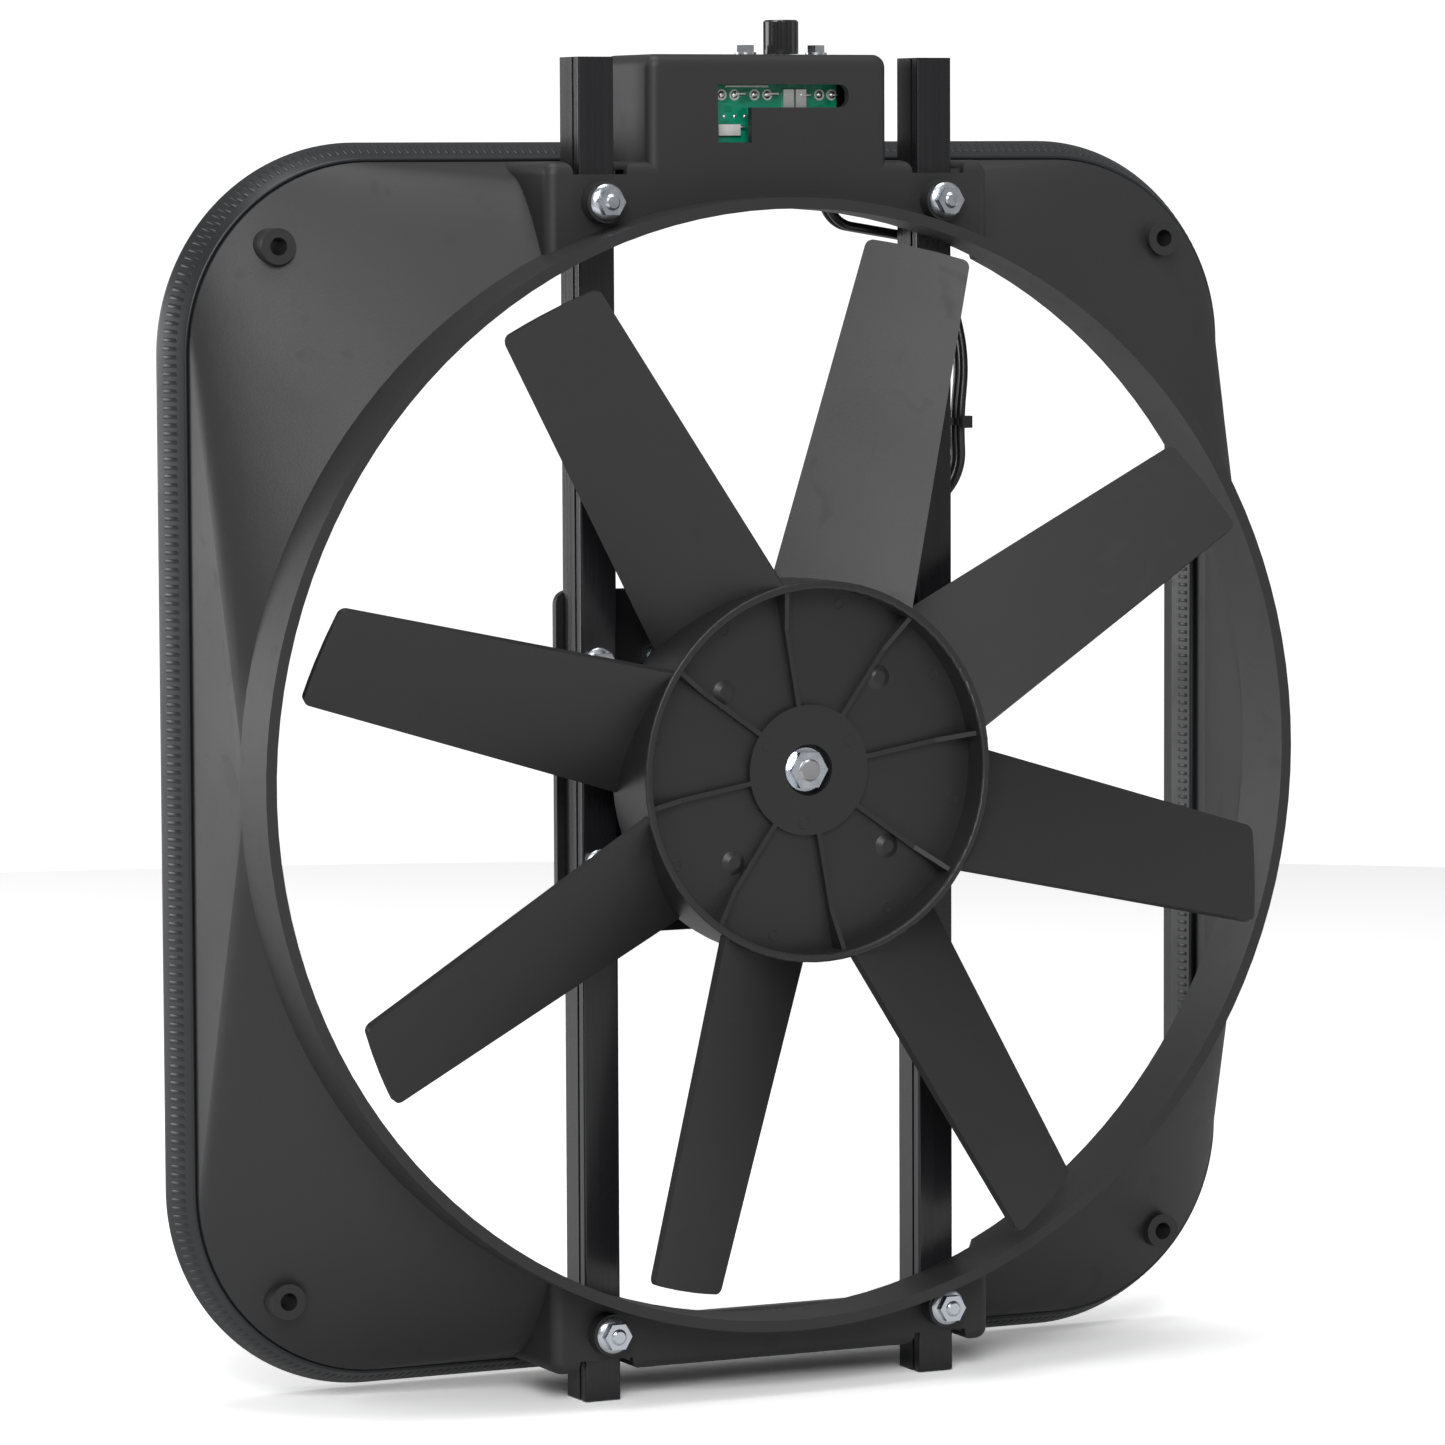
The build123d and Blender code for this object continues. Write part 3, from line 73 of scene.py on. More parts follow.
def moulded_skin():
    """Fine grain, slow cloudiness and sparse scuffs of a moulded plastic face."""
    group, given, out = new_group("moulded skin", {"Grain": 900.0, "Cloud": 11.0}, ("Height", "Cloud", "Scuff"))
    add, link = group.nodes.new, group.links.new
    place = add("ShaderNodeTexCoord")
    grain = add("ShaderNodeTexNoise")
    grain.inputs["Detail"].default_value = 3.0
    grain.inputs["Roughness"].default_value = 0.65
    cloud = add("ShaderNodeTexNoise")
    cloud.inputs["Detail"].default_value = 5.0
    scuff = add("ShaderNodeTexNoise")
    scuff.inputs["Scale"].default_value = 60.0
    scuff.inputs["Detail"].default_value = 6.0
    scuff.inputs["Distortion"].default_value = 1.2
    edge = add("ShaderNodeMapRange")
    edge.inputs["From Min"].default_value = 0.60
    edge.inputs["From Max"].default_value = 0.72
    for texture in (grain, cloud, scuff):
        link(place.outputs["Object"], texture.inputs["Vector"])
    link(given.outputs["Grain"], grain.inputs["Scale"])
    link(given.outputs["Cloud"], cloud.inputs["Scale"])
    link(scuff.outputs["Fac"], edge.inputs["Value"])
    link(grain.outputs["Fac"], out.inputs["Height"])
    link(cloud.outputs["Fac"], out.inputs["Cloud"])
    link(edge.outputs["Result"], out.inputs["Scuff"])
    return group


def new_material(name, metallic=0.0, specular=0.5, coat=0.0, coat_roughness=0.1):
    material = bpy.data.materials.new(name)
    material.use_nodes = True
    shader = material.node_tree.nodes["Principled BSDF"]
    shader.inputs["Metallic"].default_value = metallic
    shader.inputs["Specular IOR Level"].default_value = specular
    shader.inputs["Coat Weight"].default_value = coat
    shader.inputs["Coat Roughness"].default_value = coat_roughness
    return material, material.node_tree.nodes, material.node_tree.links, shader


def mix_colours(tree, links, factor, dark, light):
    mix = tree.new("ShaderNodeMix")
    mix.data_type = "RGBA"
    mix.inputs[6].default_value = dark
    mix.inputs[7].default_value = light
    links.new(factor, mix.inputs[0])
    return mix.outputs[2]


def spread(tree, links, value, low, high, start=0.3, end=0.7):
    """Value from start to end turned into low to high."""
    ramp = tree.new("ShaderNodeMapRange")
    ramp.inputs["From Min"].default_value = start
    ramp.inputs["From Max"].default_value = end
    ramp.inputs["To Min"].default_value = low
    ramp.inputs["To Max"].default_value = high
    links.new(value, ramp.inputs["Value"])
    return ramp.outputs["Result"]


def raise_bump(tree, links, shader, height, strength, depth):
    bump = tree.new("ShaderNodeBump")
    bump.inputs["Strength"].default_value = strength
    bump.inputs["Distance"].default_value = depth
    links.new(height, bump.inputs["Height"])
    links.new(bump.outputs["Normal"], shader.inputs["Normal"])


MOULDED_SKIN = moulded_skin()


def moulded(name, dark, light, rough, grain=900.0, depth=0.00006, strength=0.5, cloud=11.0,
            specular=0.5, coat=0.0):
    """Moulded plastic or rubber with the shared skin."""
    material, tree, links, shader = new_material(name, specular=specular, coat=coat)
    skin = tree.new("ShaderNodeGroup")
    skin.node_tree = MOULDED_SKIN
    skin.inputs["Grain"].default_value = grain
    skin.inputs["Cloud"].default_value = cloud
    tint = mix_colours(tree, links, skin.outputs["Cloud"], dark, light)
    links.new(tint, shader.inputs["Base Color"])
    gloss = spread(tree, links, skin.outputs["Cloud"], rough + 0.05, rough - 0.05)
    worn = tree.new("ShaderNodeMath")
    worn.operation = "MULTIPLY_ADD"
    worn.inputs[1].default_value = 0.06
    links.new(skin.outputs["Scuff"], worn.inputs[0])
    links.new(gloss, worn.inputs[2])
    links.new(worn.outputs["Value"], shader.inputs["Roughness"])
    raise_bump(tree, links, shader, skin.outputs["Height"], strength, depth)
    return material


def dress(material, *names):
    """Give CAD nodes or new pieces their finish."""
    for name in names:
        piece = bpy.data.objects[name]
        if not piece.material_slots:
            piece.data.materials.append(material)
        for slot in piece.material_slots:
            slot.material = material


nylon = moulded("grained black nylon", NYLON, NYLON_LIGHT, 0.50, grain=1100.0, depth=0.00009, strength=0.6)
dress(nylon, "shroud", "control_cover")

# ---- Edge seal -----------------------------------------------------------
# Extruded black rubber trim pushed onto the rim wall from behind: two ribbed legs grip
# the wall and a hollow bulb behind it closes against the radiator. Its steel core is
# crimped every few millimetres, which shows through the legs.
RIM_X, RIM_Z, RIM_R = 205.5, 216.0, 68.0
WALL = 3.0
CRIMP_PITCH = 3.0
RIB_OUT = 4.6                # where the ribs keep their pitch in the rim's corners


def arc_points(out, y, radius, start, end, steps):
    """Points of an arc of the section, angles in degrees from outwards towards the back."""
    angles = [math.radians(start + (end - start) * i / steps) for i in range(steps + 1)]
    return [(out + radius * math.cos(a), y + radius * math.sin(a)) for a in angles]


SEAL_SECTION = ([(0.0, 0.0), (0.0, -13.1)] + arc_points(0.9, -12.8, 0.85, -150, -24, 5)
                + arc_points(4.85, -0.6, 2.2, -18, 22, 4) + arc_points(-2.2, 9.95, 4.65, 32, 168, 12)
                + arc_points(-4.85, 4.0, 2.6, 172, 200, 3) + arc_points(-4.3, -5.7, 1.25, 190, 300, 5)
                + [(-WALL, -6.4), (-WALL, 0.0)])


def round_the_rim(bm, start, pitch, duplicate):
    """Carry a shape once round the rim, from the middle of the top: eight runs and arcs."""
    cx, cz = (RIM_X - RIM_R) * MM, (RIM_Z - RIM_R) * MM
    legs = [((1, 0, 0), cx, (cx, cz)), ((0, 0, -1), 2 * cz, (cx, -cz)), ((-1, 0, 0), 2 * cx, (-cx, -cz)),
            ((0, 0, 1), 2 * cz, (-cx, cz)), ((1, 0, 0), cx, None)]
    arc_steps = round(math.pi / 2 * (RIM_R + RIB_OUT) / CRIMP_PITCH)
    last = start
    for way, length, corner in legs:
        steps = max(1, round(length / pitch)) if pitch else 1
        run = bmesh.ops.spin(bm, geom=last, cent=(0, 0, 0), axis=(0, 1, 0), dvec=Vector(way) * length / steps,
                             angle=0, steps=steps, use_merge=False, use_duplicate=duplicate)
        last = run["geom_last"]
        if corner:
            arc = bmesh.ops.spin(bm, geom=last, cent=(corner[0], 0, corner[1]), axis=(0, 1, 0), dvec=(0, 0, 0),
                                 angle=math.pi / 2, steps=arc_steps, use_merge=False, use_duplicate=duplicate)
            last = arc["geom_last"]


def finish_mesh(bm, name, body, material, merge=0.000002):
    """Close a bmesh into a piece that rides on a body."""
    bmesh.ops.remove_doubles(bm, verts=bm.verts, dist=merge)
    bmesh.ops.recalc_face_normals(bm, faces=bm.faces)
    mesh = bpy.data.meshes.new(name)
    bm.to_mesh(mesh)
    bm.free()
    piece = bpy.data.objects.new(name, mesh)
    bpy.context.scene.collection.objects.link(piece)
    mesh.materials.append(material)
    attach(piece, body)
    return piece


def smooth(piece, degrees=35):
    """Smooth shading that keeps edges sharper than the angle."""
    mesh = piece.data
    mesh.shade_smooth()
    mesh.set_sharp_from_angle(angle=math.radians(degrees))
    return piece


seal_rubber = moulded("seal rubber", (0.010, 0.011, 0.013, 1), (0.020, 0.021, 0.024, 1), 0.40, grain=500.0,
                      depth=0.00004, strength=0.4, cloud=24.0, specular=0.55)
bm = bmesh.new()
corners = [bm.verts.new((0, y * MM, (RIM_Z + out) * MM)) for out, y in SEAL_SECTION]
section = [bm.edges.new((a, b)) for a, b in zip(corners, corners[1:] + corners[:1])]
round_the_rim(bm, corners + section, 0, False)
seal = smooth(finish_mesh(bm, "seal_trim", "frame", seal_rubber))
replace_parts(seal, "edge_seal")

# One pressed rib on each leg, repeated all round.
bm = bmesh.new()
for outer, front, back, tilt in ((4.42, -10.2, -3.2, 24), (-6.05, -4.9, 0.4, -11)):
    made = bmesh.ops.create_cube(bm, size=1.0)["verts"]
    bmesh.ops.scale(bm, vec=(1.5 * MM, (back - front) * MM, 0.5 * MM), verts=made)
    bmesh.ops.rotate(bm, verts=made, cent=(0, 0, 0), matrix=Matrix.Rotation(math.radians(tilt), 3, "X"))
    bmesh.ops.translate(bm, vec=(0, (front + back) / 2 * MM, (RIM_Z + outer) * MM), verts=made)
bmesh.ops.bevel(bm, geom=bm.edges[:], offset=0.15 * MM, segments=1, affect="EDGES", profile=0.5, material=-1)
round_the_rim(bm, bm.verts[:] + bm.edges[:] + bm.faces[:], CRIMP_PITCH * MM, True)
smooth(finish_mesh(bm, "seal_crimps", "frame", seal_rubber, merge=0.00000001), 60)

# ---- Rails ---------------------------------------------------------------
# Two slotted aluminium extrusions, black anodised, that carry the motor plate
# and bolt to the shroud's blocks. Die lines run along them.


def drawn_skin():
    """Fine lines along Z with slow changes of gloss."""
    group, given, out = new_group("drawn skin", {"Across": 900.0, "Along": 6.0}, ("Height", "Cloud"))
    add, link = group.nodes.new, group.links.new
    place = add("ShaderNodeTexCoord")
    parts = add("ShaderNodeSeparateXYZ")
    joined = add("ShaderNodeCombineXYZ")
    link(place.outputs["Object"], parts.inputs["Vector"])
    for axis, size in (("X", "Across"), ("Y", "Across"), ("Z", "Along")):
        times = add("ShaderNodeMath")
        times.operation = "MULTIPLY"
        link(parts.outputs[axis], times.inputs[0])
        link(given.outputs[size], times.inputs[1])
        link(times.outputs["Value"], joined.inputs[axis])
    lines = add("ShaderNodeTexNoise")
    lines.inputs["Scale"].default_value = 1.0
    lines.inputs["Detail"].default_value = 3.0
    link(joined.outputs["Vector"], lines.inputs["Vector"])
    cloud = add("ShaderNodeTexNoise")
    cloud.inputs["Scale"].default_value = 14.0
    cloud.inputs["Detail"].default_value = 4.0
    link(place.outputs["Object"], cloud.inputs["Vector"])
    link(lines.outputs["Fac"], out.inputs["Height"])
    link(cloud.outputs["Fac"], out.inputs["Cloud"])
    return group


DRAWN_SKIN = drawn_skin()
rail_black, tree, links, shader = new_material("black anodised rail", metallic=0.0, specular=0.6)
skin = tree.new("ShaderNodeGroup")
skin.node_tree = DRAWN_SKIN
links.new(mix_colours(tree, links, skin.outputs["Cloud"], (0.008, 0.008, 0.009, 1), (0.014, 0.014, 0.016, 1)),
          shader.inputs["Base Color"])
links.new(spread(tree, links, skin.outputs["Height"], 0.20, 0.30), shader.inputs["Roughness"])
raise_bump(tree, links, shader, skin.outputs["Height"], 0.04, 0.00001)
dress(rail_black, "rail_left", "rail_right")

# ---- Rail, plate and hub hardware ----------------------------------------
# Six millimetre bolts with flange nuts hold the rails in the blocks and the motor
# plate on the rails; a thin nut and washer hold the fan. Bright zinc with a blue cast.


def plated_skin():
    """Mottled plating with fine directionless marks."""
    group, given, out = new_group("plated skin", {"Size": 260.0}, ("Height", "Cloud"))
    add, link = group.nodes.new, group.links.new
    place = add("ShaderNodeTexCoord")
    cloud = add("ShaderNodeTexNoise")
    cloud.inputs["Detail"].default_value = 4.0
    marks = add("ShaderNodeTexVoronoi")
    marks.inputs["Scale"].default_value = 2600.0
    link(place.outputs["Object"], cloud.inputs["Vector"])
    link(place.outputs["Object"], marks.inputs["Vector"])
    link(given.outputs["Size"], cloud.inputs["Scale"])
    link(marks.outputs["Distance"], out.inputs["Height"])
    link(cloud.outputs["Fac"], out.inputs["Cloud"])
    return group


PLATED_SKIN = plated_skin()


def plated(name, dark, light, rough, size=260.0, strength=0.15):
    material, tree, links, shader = new_material(name, metallic=1.0)
    skin = tree.new("ShaderNodeGroup")
    skin.node_tree = PLATED_SKIN
    skin.inputs["Size"].default_value = size
    links.new(mix_colours(tree, links, skin.outputs["Cloud"], dark, light), shader.inputs["Base Color"])
    links.new(spread(tree, links, skin.outputs["Cloud"], rough - 0.05, rough + 0.10), shader.inputs["Roughness"])
    raise_bump(tree, links, shader, skin.outputs["Height"], strength, 0.00002)
    return material


zinc = plated("blue zinc plating", (0.60, 0.66, 0.75, 1), (0.84, 0.87, 0.90, 1), 0.24)
dress(zinc, "motor_screws", "motor_screw_nuts", "motor_through_bolts", "motor_through_nuts", "board_screws",
      "cover_screws", "top_screws", "pot_bracket")


def hexagon_prism(bm, flats, low, high, chamfer):
    """Hexagon along Z between two heights, with its upper corners cut down."""
    made = bmesh.ops.create_circle(bm, cap_ends=True, segments=6, radius=flats / 3 ** 0.5)["verts"]
    bmesh.ops.rotate(bm, verts=made, cent=(0, 0, 0), matrix=Matrix.Rotation(math.pi / 6, 3, "Z"))
    bmesh.ops.translate(bm, verts=made, vec=(0, 0, low))
    bottom = list({f for v in made for f in v.link_faces})
    side = bmesh.ops.extrude_face_region(bm, geom=bottom)["geom"]
    bmesh.ops.translate(bm, verts=[v for v in side if isinstance(v, bmesh.types.BMVert)], vec=(0, 0, high - low))
    for i in range(6):
        angle = math.pi / 6 + i * math.pi / 3
        outwards = Vector((math.cos(angle), math.sin(angle), 1.9)).normalized()
        corner = Vector((math.cos(angle), math.sin(angle), 0)) * (flats / 3 ** 0.5 - chamfer) + Vector((0, 0, high))
        whole = bm.verts[:] + bm.edges[:] + bm.faces[:]
        cut = bmesh.ops.bisect_plane(bm, geom=whole, plane_co=corner, plane_no=outwards, clear_outer=True)
        rim = [e for e in cut["geom_cut"] if isinstance(e, bmesh.types.BMEdge)]
        bmesh.ops.edgenet_fill(bm, edges=rim)


def shift(bm, verts, x, y, z):
    """Move vertices by millimetres."""
    bmesh.ops.translate(bm, verts=verts, vec=(x * MM, y * MM, z * MM))


def turned(bm, outline, segments=40):
    """Solid of revolution about Z from (radius, height) points."""
    points = [bm.verts.new((r * MM, 0, z * MM)) for r, z in outline]
    edges = [bm.edges.new(pair) for pair in zip(points, points[1:])]
    bmesh.ops.spin(bm, geom=points + edges, cent=(0, 0, 0), axis=(0, 0, 1), dvec=(0, 0, 0), angle=2 * math.pi,
                   steps=segments, use_merge=True, use_duplicate=False)


def thread_outline(radius, start, end, pitch=1.0, depth=0.28):
    """Points down a threaded end, from its domed tip to the seat."""
    points = [(0.0, end), (radius - 0.9, end), (radius - 0.35, end - 0.45)]
    z = end - 0.5
    while z - pitch > start:
        points += [(radius - depth, z), (radius, z - 0.5 * pitch)]
        z -= pitch
    return points + [(radius - depth, start), (0.0, start)]


def stand(bm, x, y, z, copies=()):
    """Turn a part made along Z to point at -Y and set it at every place."""
    bmesh.ops.rotate(bm, verts=bm.verts, cent=(0, 0, 0), matrix=Matrix.Rotation(math.pi / 2, 3, "X"))
    whole = bm.verts[:] + bm.edges[:] + bm.faces[:]
    for place in copies:
        twin = bmesh.ops.duplicate(bm, geom=whole)["geom"]
        verts = [v for v in twin if isinstance(v, bmesh.types.BMVert)]
        shift(bm, verts, *place)
    shift(bm, [v for v in whole if isinstance(v, bmesh.types.BMVert)], x, y, z)


RAIL_X = 66.9
BLOCK_SEAT, RAIL_SEAT = -64.0, -55.0
block_places = [(sx * RAIL_X, BLOCK_SEAT, sz * 201.6) for sx in (-1, 1) for sz in (-1, 1)]
plate_places = [(sx * RAIL_X, RAIL_SEAT, 1.5 + sz * 36.0) for sx in (-1, 1) for sz in (-1, 1)]
for name, replaced, places in (("rail_flange_nuts", "rail_nuts", block_places),
                               ("plate_flange_nuts", "bracket_nuts", plate_places)):
    bm = bmesh.new()
    hexagon_prism(bm, 9 * MM, 1.0 * MM, 4.95 * MM, 0.35 * MM)
    turned(bm, [(3.06, 4.9), (3.06, 0.0), (5.9, 0.0), (6.4, 0.2), (6.45, 0.6), (6.1, 1.0), (5.2, 1.5),
                (4.2, 1.8)])
    stand(bm, *places[0], places[1:])
    nut = smooth(finish_mesh(bm, name, "frame", zinc), 30)
    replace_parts(nut, replaced)

# The bolts: a hexagon head inside the rail or behind the plate, a threaded end in front.
for name, replaced, places, seat, reach in (("rail_hex_bolts", "rail_bolts", block_places, -53.3, 16.6),
                                            ("plate_hex_bolts", "bracket_bolts", plate_places, -36.0, 24.9)):
    bm = bmesh.new()
    hexagon_prism(bm, 10 * MM, 0, 4 * MM, 0.35 * MM)
    bmesh.ops.rotate(bm, verts=bm.verts, cent=(0, 0, 0), matrix=Matrix.Rotation(math.pi, 3, "X"))
    turned(bm, thread_outline(2.98, reach - 8.0, reach))
    turned(bm, [(0.0, reach - 7.9), (2.9, reach - 7.9), (2.9, 0.0), (0.0, -0.2)], 24)
    seats = [(x, seat, z) for x, y, z in places]
    stand(bm, *seats[0], seats[1:])
    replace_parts(smooth(finish_mesh(bm, name, "frame", zinc), 30), replaced)

# ---- Motor plate and motor -----------------------------------------------
# A pressed steel plate spans the rails; the round motor can hangs in it by a flange
# and four screws. Plate, can and end bell are painted satin black.
paint = moulded("satin black paint", (0.012, 0.012, 0.013, 1), (0.020, 0.020, 0.021, 1), 0.34, grain=420.0,
                depth=0.00003, strength=0.35, cloud=16.0, coat=0.15)
dress(paint, "motor_bracket", "motor_can", "motor_end_bell")
ground_steel = plated("ground steel", (0.42, 0.42, 0.43, 1), (0.62, 0.62, 0.63, 1), 0.28, size=120.0)
dress(ground_steel, "motor_shaft", "front_bearing", "rear_bearing", "drive_pin", "pot_shaft")
ferrite = moulded("ferrite magnets", (0.035, 0.035, 0.038, 1), (0.070, 0.070, 0.074, 1), 0.55, grain=700.0)
core_steel = plated("stacked core steel", (0.14, 0.14, 0.15, 1), (0.26, 0.26, 0.27, 1), 0.45, size=90.0)
enamel_copper = plated("enamelled copper", (0.38, 0.13, 0.05, 1), (0.62, 0.25, 0.10, 1), 0.32, size=700.0, strength=0.6)
laminate = moulded("brown laminate", (0.16, 0.08, 0.035, 1), (0.26, 0.14, 0.06, 1), 0.50, cloud=60.0)
carbon = moulded("brush carbon", (0.020, 0.020, 0.020, 1), (0.045, 0.045, 0.045, 1), 0.65)
spring_brass = plated("spring brass", (0.56, 0.40, 0.14, 1), (0.76, 0.58, 0.26, 1), 0.30)
dress(ferrite, "magnets")
dress(core_steel, "armature_core")
dress(enamel_copper, "armature_windings", "commutator")
dress(laminate, "brush_holder")
dress(carbon, "brushes")
dress(spring_brass, "brush_springs")

# ---- Fan -----------------------------------------------------------------
# One black nylon moulding: eight straight pitched blades on a cup-shaped hub with
# radial ribs. Small round ejector marks show on the hub's face and disk.
blade_nylon = moulded("satin black nylon", (0.015, 0.015, 0.016, 1), (0.024, 0.024, 0.025, 1), 0.42, grain=1500.0,
                      depth=0.00005, strength=0.45, cloud=7.0)
dress(blade_nylon, "fan")
bm = bmesh.new()
marks = [(19.0, a, 87.5, 2.1) for a in (32, 150, 264)] + [(60.0, 32.3 + 45 * i, 85.0, 1.9) for i in range(8)]
for radius, angle, height, ring in marks:
    before = set(bm.verts)
    turned(bm, [(ring - 0.45, -0.05), (ring - 0.32, 0.10), (ring, 0.12), (ring + 0.14, -0.05),
                (ring - 0.45, -0.05)], 20)
    turn = math.radians(angle)
    shift(bm, [v for v in bm.verts if v not in before], radius * math.cos(turn), radius * math.sin(turn), height)
bmesh.ops.rotate(bm, verts=bm.verts, cent=(0, 0, 0), matrix=Matrix.Rotation(math.pi / 2, 3, "X"))
smooth(finish_mesh(bm, "hub_ejector_marks", "rotor", blade_nylon, merge=0.00000001))

# The thin nut and washer in the middle of the hub, with the shaft's threaded tip.
bm = bmesh.new()
hexagon_prism(bm, 12.6 * MM, 84.5 * MM, 88.05 * MM, 0.5 * MM)
stand(bm, 0, 0, 0)
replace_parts(smooth(finish_mesh(bm, "hub_lock_nut", "rotor", zinc), 30), "hub_nut")
bm = bmesh.new()
turned(bm, [(4.2, 84.5), (4.2, 83.0), (7.8, 83.0), (8.1, 83.25), (8.1, 84.2), (7.8, 84.5), (4.2, 84.5)], 48)
stand(bm, 0, 0, 0)
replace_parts(smooth(finish_mesh(bm, "hub_plain_washer", "rotor", zinc), 30), "hub_washer")

# ---- Control board -------------------------------------------------------
# A green circuit board behind the L-shaped window, soldered from the front, with
# clinched component legs, two wide tinned tabs and a printed strip along its top.
board_green, tree, links, shader = new_material("green solder mask", specular=0.55, coat=0.3)
place = tree.new("ShaderNodeTexCoord")
tracks = tree.new("ShaderNodeTexVoronoi")
tracks.distance = "CHEBYCHEV"
tracks.feature = "F1"
tracks.inputs["Scale"].default_value = 330.0
links.new(place.outputs["Object"], tracks.inputs["Vector"])
routes = spread(tree, links, tracks.outputs["Distance"], 0.0, 1.0, 0.38, 0.44)
links.new(mix_colours(tree, links, routes, (0.000, 0.230, 0.120, 1), (0.002, 0.300, 0.170, 1)),
          shader.inputs["Base Color"])
links.new(spread(tree, links, routes, 0.28, 0.36, 0.0, 1.0), shader.inputs["Roughness"])
raise_bump(tree, links, shader, routes, 0.4, 0.00004)
dress(board_green, "control_board")

tin = plated("bright tin", (0.80, 0.80, 0.80, 1), (0.97, 0.97, 0.96, 1), 0.34, size=900.0, strength=0.3)
dress(tin, "solder_joints", "board_terminals")
BOARD_FACE = -47.8
bm = bmesh.new()
for x0, x1, z in ((-9.5, -5.7, 239.9), (3.5, 7.4, 239.9), (16.4, 20.3, 239.4), (29.3, 31.0, 239.4),
                  (-8.0, -5.8, 227.9)):
    leg = bmesh.ops.create_cube(bm, size=1.0)["verts"]
    bmesh.ops.scale(bm, vec=((x1 - x0) * MM, 0.7 * MM, 0.75 * MM), verts=leg)
    bmesh.ops.translate(bm, vec=((x0 + x1) / 2 * MM, (BOARD_FACE - 1.25) * MM, z * MM), verts=leg)
bmesh.ops.bevel(bm, geom=bm.edges[:], offset=0.15 * MM, segments=2, affect="EDGES", profile=0.5, material=-1)
smooth(finish_mesh(bm, "clinched_legs", "frame", tin))

# Pale annular pads under the joints, one pale component in the window's leg and the strip.
pale = moulded("pale component", (0.62, 0.62, 0.60, 1), (0.86, 0.86, 0.84, 1), 0.40, cloud=300.0)
PAD_ROW_Z = 239.5
bm = bmesh.new()
for x in (-14.6, -9.5, -1.6, 3.5, 24.2, 29.0):
    before = set(bm.verts)
    turned(bm, [(0.0, -0.02), (2.0, -0.02), (2.0, 0.10), (0.0, 0.10)], 28)
    shift(bm, [v for v in bm.verts if v not in before], x, PAD_ROW_Z, -BOARD_FACE)
bmesh.ops.rotate(bm, verts=bm.verts, cent=(0, 0, 0), matrix=Matrix.Rotation(math.pi / 2, 3, "X"))
for x0, x1, z0, z1, rise in ((-16.4, -7.7, 224.9, 229.0, 1.6), (-13.4, 3.9, 242.2, 242.95, 0.5)):
    body = bmesh.ops.create_cube(bm, size=1.0)["verts"]
    bmesh.ops.scale(bm, vec=((x1 - x0) * MM, rise * MM, (z1 - z0) * MM), verts=body)
    bmesh.ops.translate(bm, vec=((x0 + x1) / 2 * MM, (BOARD_FACE - rise / 2) * MM, (z0 + z1) / 2 * MM), verts=body)
    bars = {e for v in body for e in v.link_edges}
    bmesh.ops.bevel(bm, geom=list(bars), offset=0.22 * MM, segments=3, affect="EDGES", profile=0.5, material=-1)
smooth(finish_mesh(bm, "board_prints", "frame", pale))

relay_blue = moulded("relay case", (0.010, 0.030, 0.110, 1), (0.020, 0.050, 0.160, 1), 0.35)
dress(relay_blue, "relays", "capacitor")

# ---- Temperature control -------------------------------------------------
# A small potentiometer under the box's top with a fluted gloss black knob on its
# shaft; two screws hold its bracket.
knob_black = moulded("gloss black knob", (0.010, 0.010, 0.011, 1), (0.016, 0.016, 0.017, 1), 0.20, grain=600.0,
                     depth=0.00002, strength=0.2, cloud=40.0, coat=0.3)
dress(knob_black, "control_knob")
dress(ground_steel, "potentiometer")

# ---- Motor leads ---------------------------------------------------------
# Two insulated copper leads from the box to the motor, held together by a nylon
# tie; rubber grommets guard the holes they pass.
insulation = moulded("lead insulation", (0.010, 0.010, 0.011, 1), (0.017, 0.017, 0.018, 1), 0.32, grain=500.0,
                     depth=0.00003, strength=0.2, cloud=50.0, coat=0.2)
grommet_rubber = moulded("grommet rubber", (0.010, 0.010, 0.010, 1), (0.018, 0.018, 0.018, 1), 0.60, grain=700.0)
dress(insulation, "motor_leads", "lead_tie")
dress(grommet_rubber, "motor_grommet", "box_grommet")

# ---- Studio --------------------------------------------------------------
# Plain pale floor under the rails' ends, a large soft light from the front left, a
# weak one from the right, a long one behind and a pale surround. The floor answers
# the camera more brightly than it lights the object, so only its shadow is grey.
floor_white, tree, links, shader = new_material("pale floor")
shader.inputs["Roughness"].default_value = 0.9
shader.inputs["Emission Color"].default_value = (1, 1, 1, 1)
rays = tree.new("ShaderNodeLightPath")
links.new(mix_colours(tree, links, rays.outputs["Is Camera Ray"], (0.80, 0.80, 0.80, 1), (1.9, 1.9, 1.9, 1)),
          shader.inputs["Base Color"])
FLOOR_GAP = 0.0005
bm = bmesh.new()
bmesh.ops.create_circle(bm, cap_ends=True, segments=96, radius=1.8)
bmesh.ops.translate(bm, verts=bm.verts, vec=(0, 0, cad_box[0][2] - FLOOR_GAP))
floor_mesh = bpy.data.meshes.new("floor")
bm.to_mesh(floor_mesh)
bm.free()
floor_mesh.materials.append(floor_white)
floor = bpy.data.objects.new("floor", floor_mesh)
bpy.context.scene.collection.objects.link(floor)

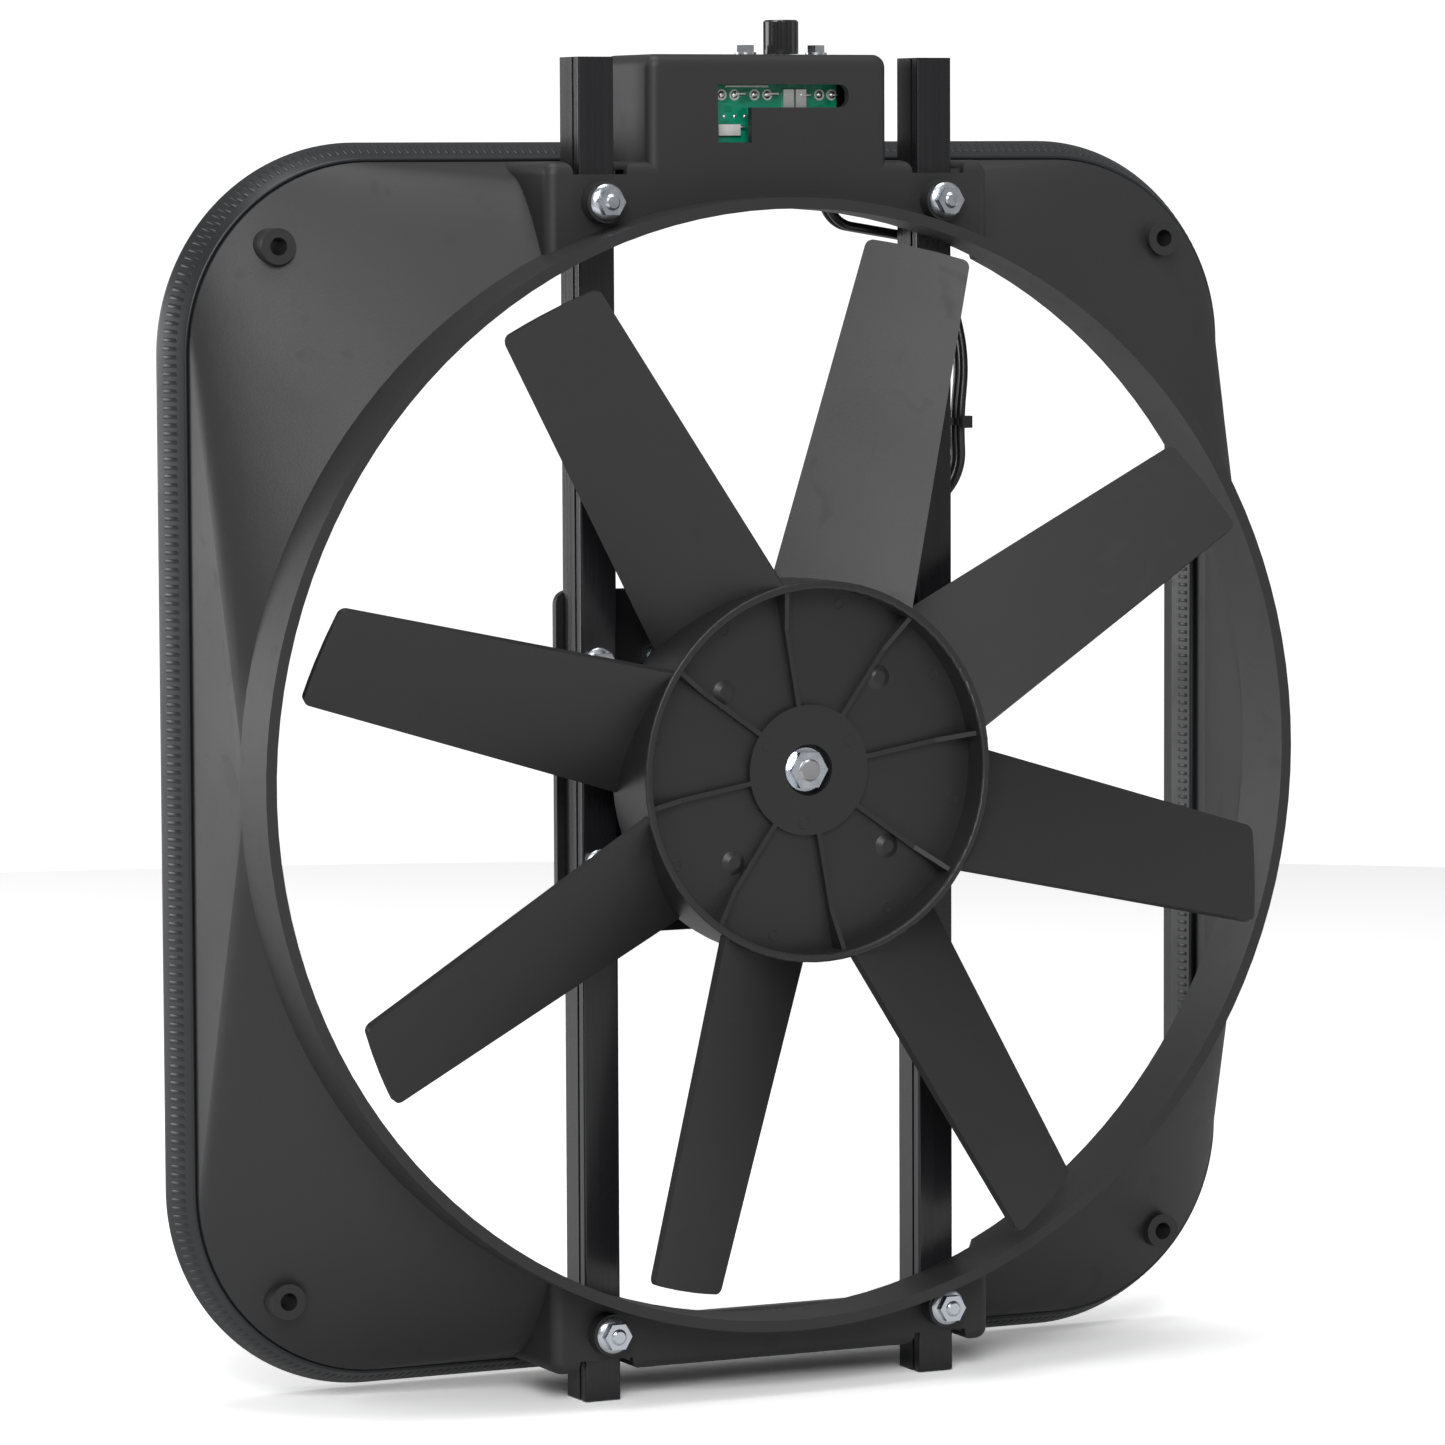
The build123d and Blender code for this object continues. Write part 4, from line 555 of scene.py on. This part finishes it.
world = bpy.data.worlds.new("surround")
bpy.context.scene.world = world
world.use_nodes = True
tree, links = world.node_tree.nodes, world.node_tree.links
tree["Background"].inputs["Color"].default_value = (1, 1, 1, 1)
tree["Background"].inputs["Strength"].default_value = 0.28
seen = tree.new("ShaderNodeBackground")
seen.inputs["Color"].default_value = (1, 1, 1, 1)
seen.inputs["Strength"].default_value = 1.1
rays = tree.new("ShaderNodeLightPath")
blend = tree.new("ShaderNodeMixShader")
links.new(rays.outputs["Is Camera Ray"], blend.inputs[0])
links.new(tree["Background"].outputs["Background"], blend.inputs[1])
links.new(seen.outputs["Background"], blend.inputs[2])
links.new(blend.outputs["Shader"], tree["World Output"].inputs["Surface"])

LAMP_AIM = Vector((0, -0.05, 0))
LAMPS = (("key", (-1.1, -2.3, 1.3), (1.3, 1.3), 42), ("side", (1.9, -1.0, 0.5), (0.8, 1.8), 2),
         ("top", (-0.2, -0.2, 1.9), (1.6, 0.8), 16), ("back", (-1.9, 1.6, 0.3), (1.6, 1.2), 22))
for name, place, size, power in LAMPS:
    lamp = bpy.data.lights.new(name, "AREA")
    lamp.shape = "RECTANGLE"
    lamp.size, lamp.size_y = size
    lamp.energy = power
    holder = bpy.data.objects.new(name, lamp)
    bpy.context.scene.collection.objects.link(holder)
    holder.location = place
    holder.visible_camera = False
    holder.rotation_euler = (LAMP_AIM - Vector(place)).to_track_quat("-Z", "Y").to_euler()

YAW, PITCH, ROLL = math.radians(25.232), math.radians(4.744), math.radians(-0.243)
lens = bpy.data.cameras.new("camera")
lens.sensor_width = 36.0
lens.lens = 166.43
camera = bpy.data.objects.new("camera", lens)
bpy.context.scene.collection.objects.link(camera)
forward = Vector((math.sin(YAW) * math.cos(PITCH), math.cos(YAW) * math.cos(PITCH), -math.sin(PITCH)))
level = Vector((math.cos(YAW), -math.sin(YAW), 0))
upright = level.cross(forward)
across = math.cos(ROLL) * level + math.sin(ROLL) * upright
above = -math.sin(ROLL) * level + math.cos(ROLL) * upright
camera.matrix_world = Matrix((across, above, -forward)).transposed().to_4x4()
camera.location = (-1.0361, -2.2141, 0.2134)
bpy.context.scene.camera = camera
bpy.context.scene.view_settings.view_transform = "Standard"
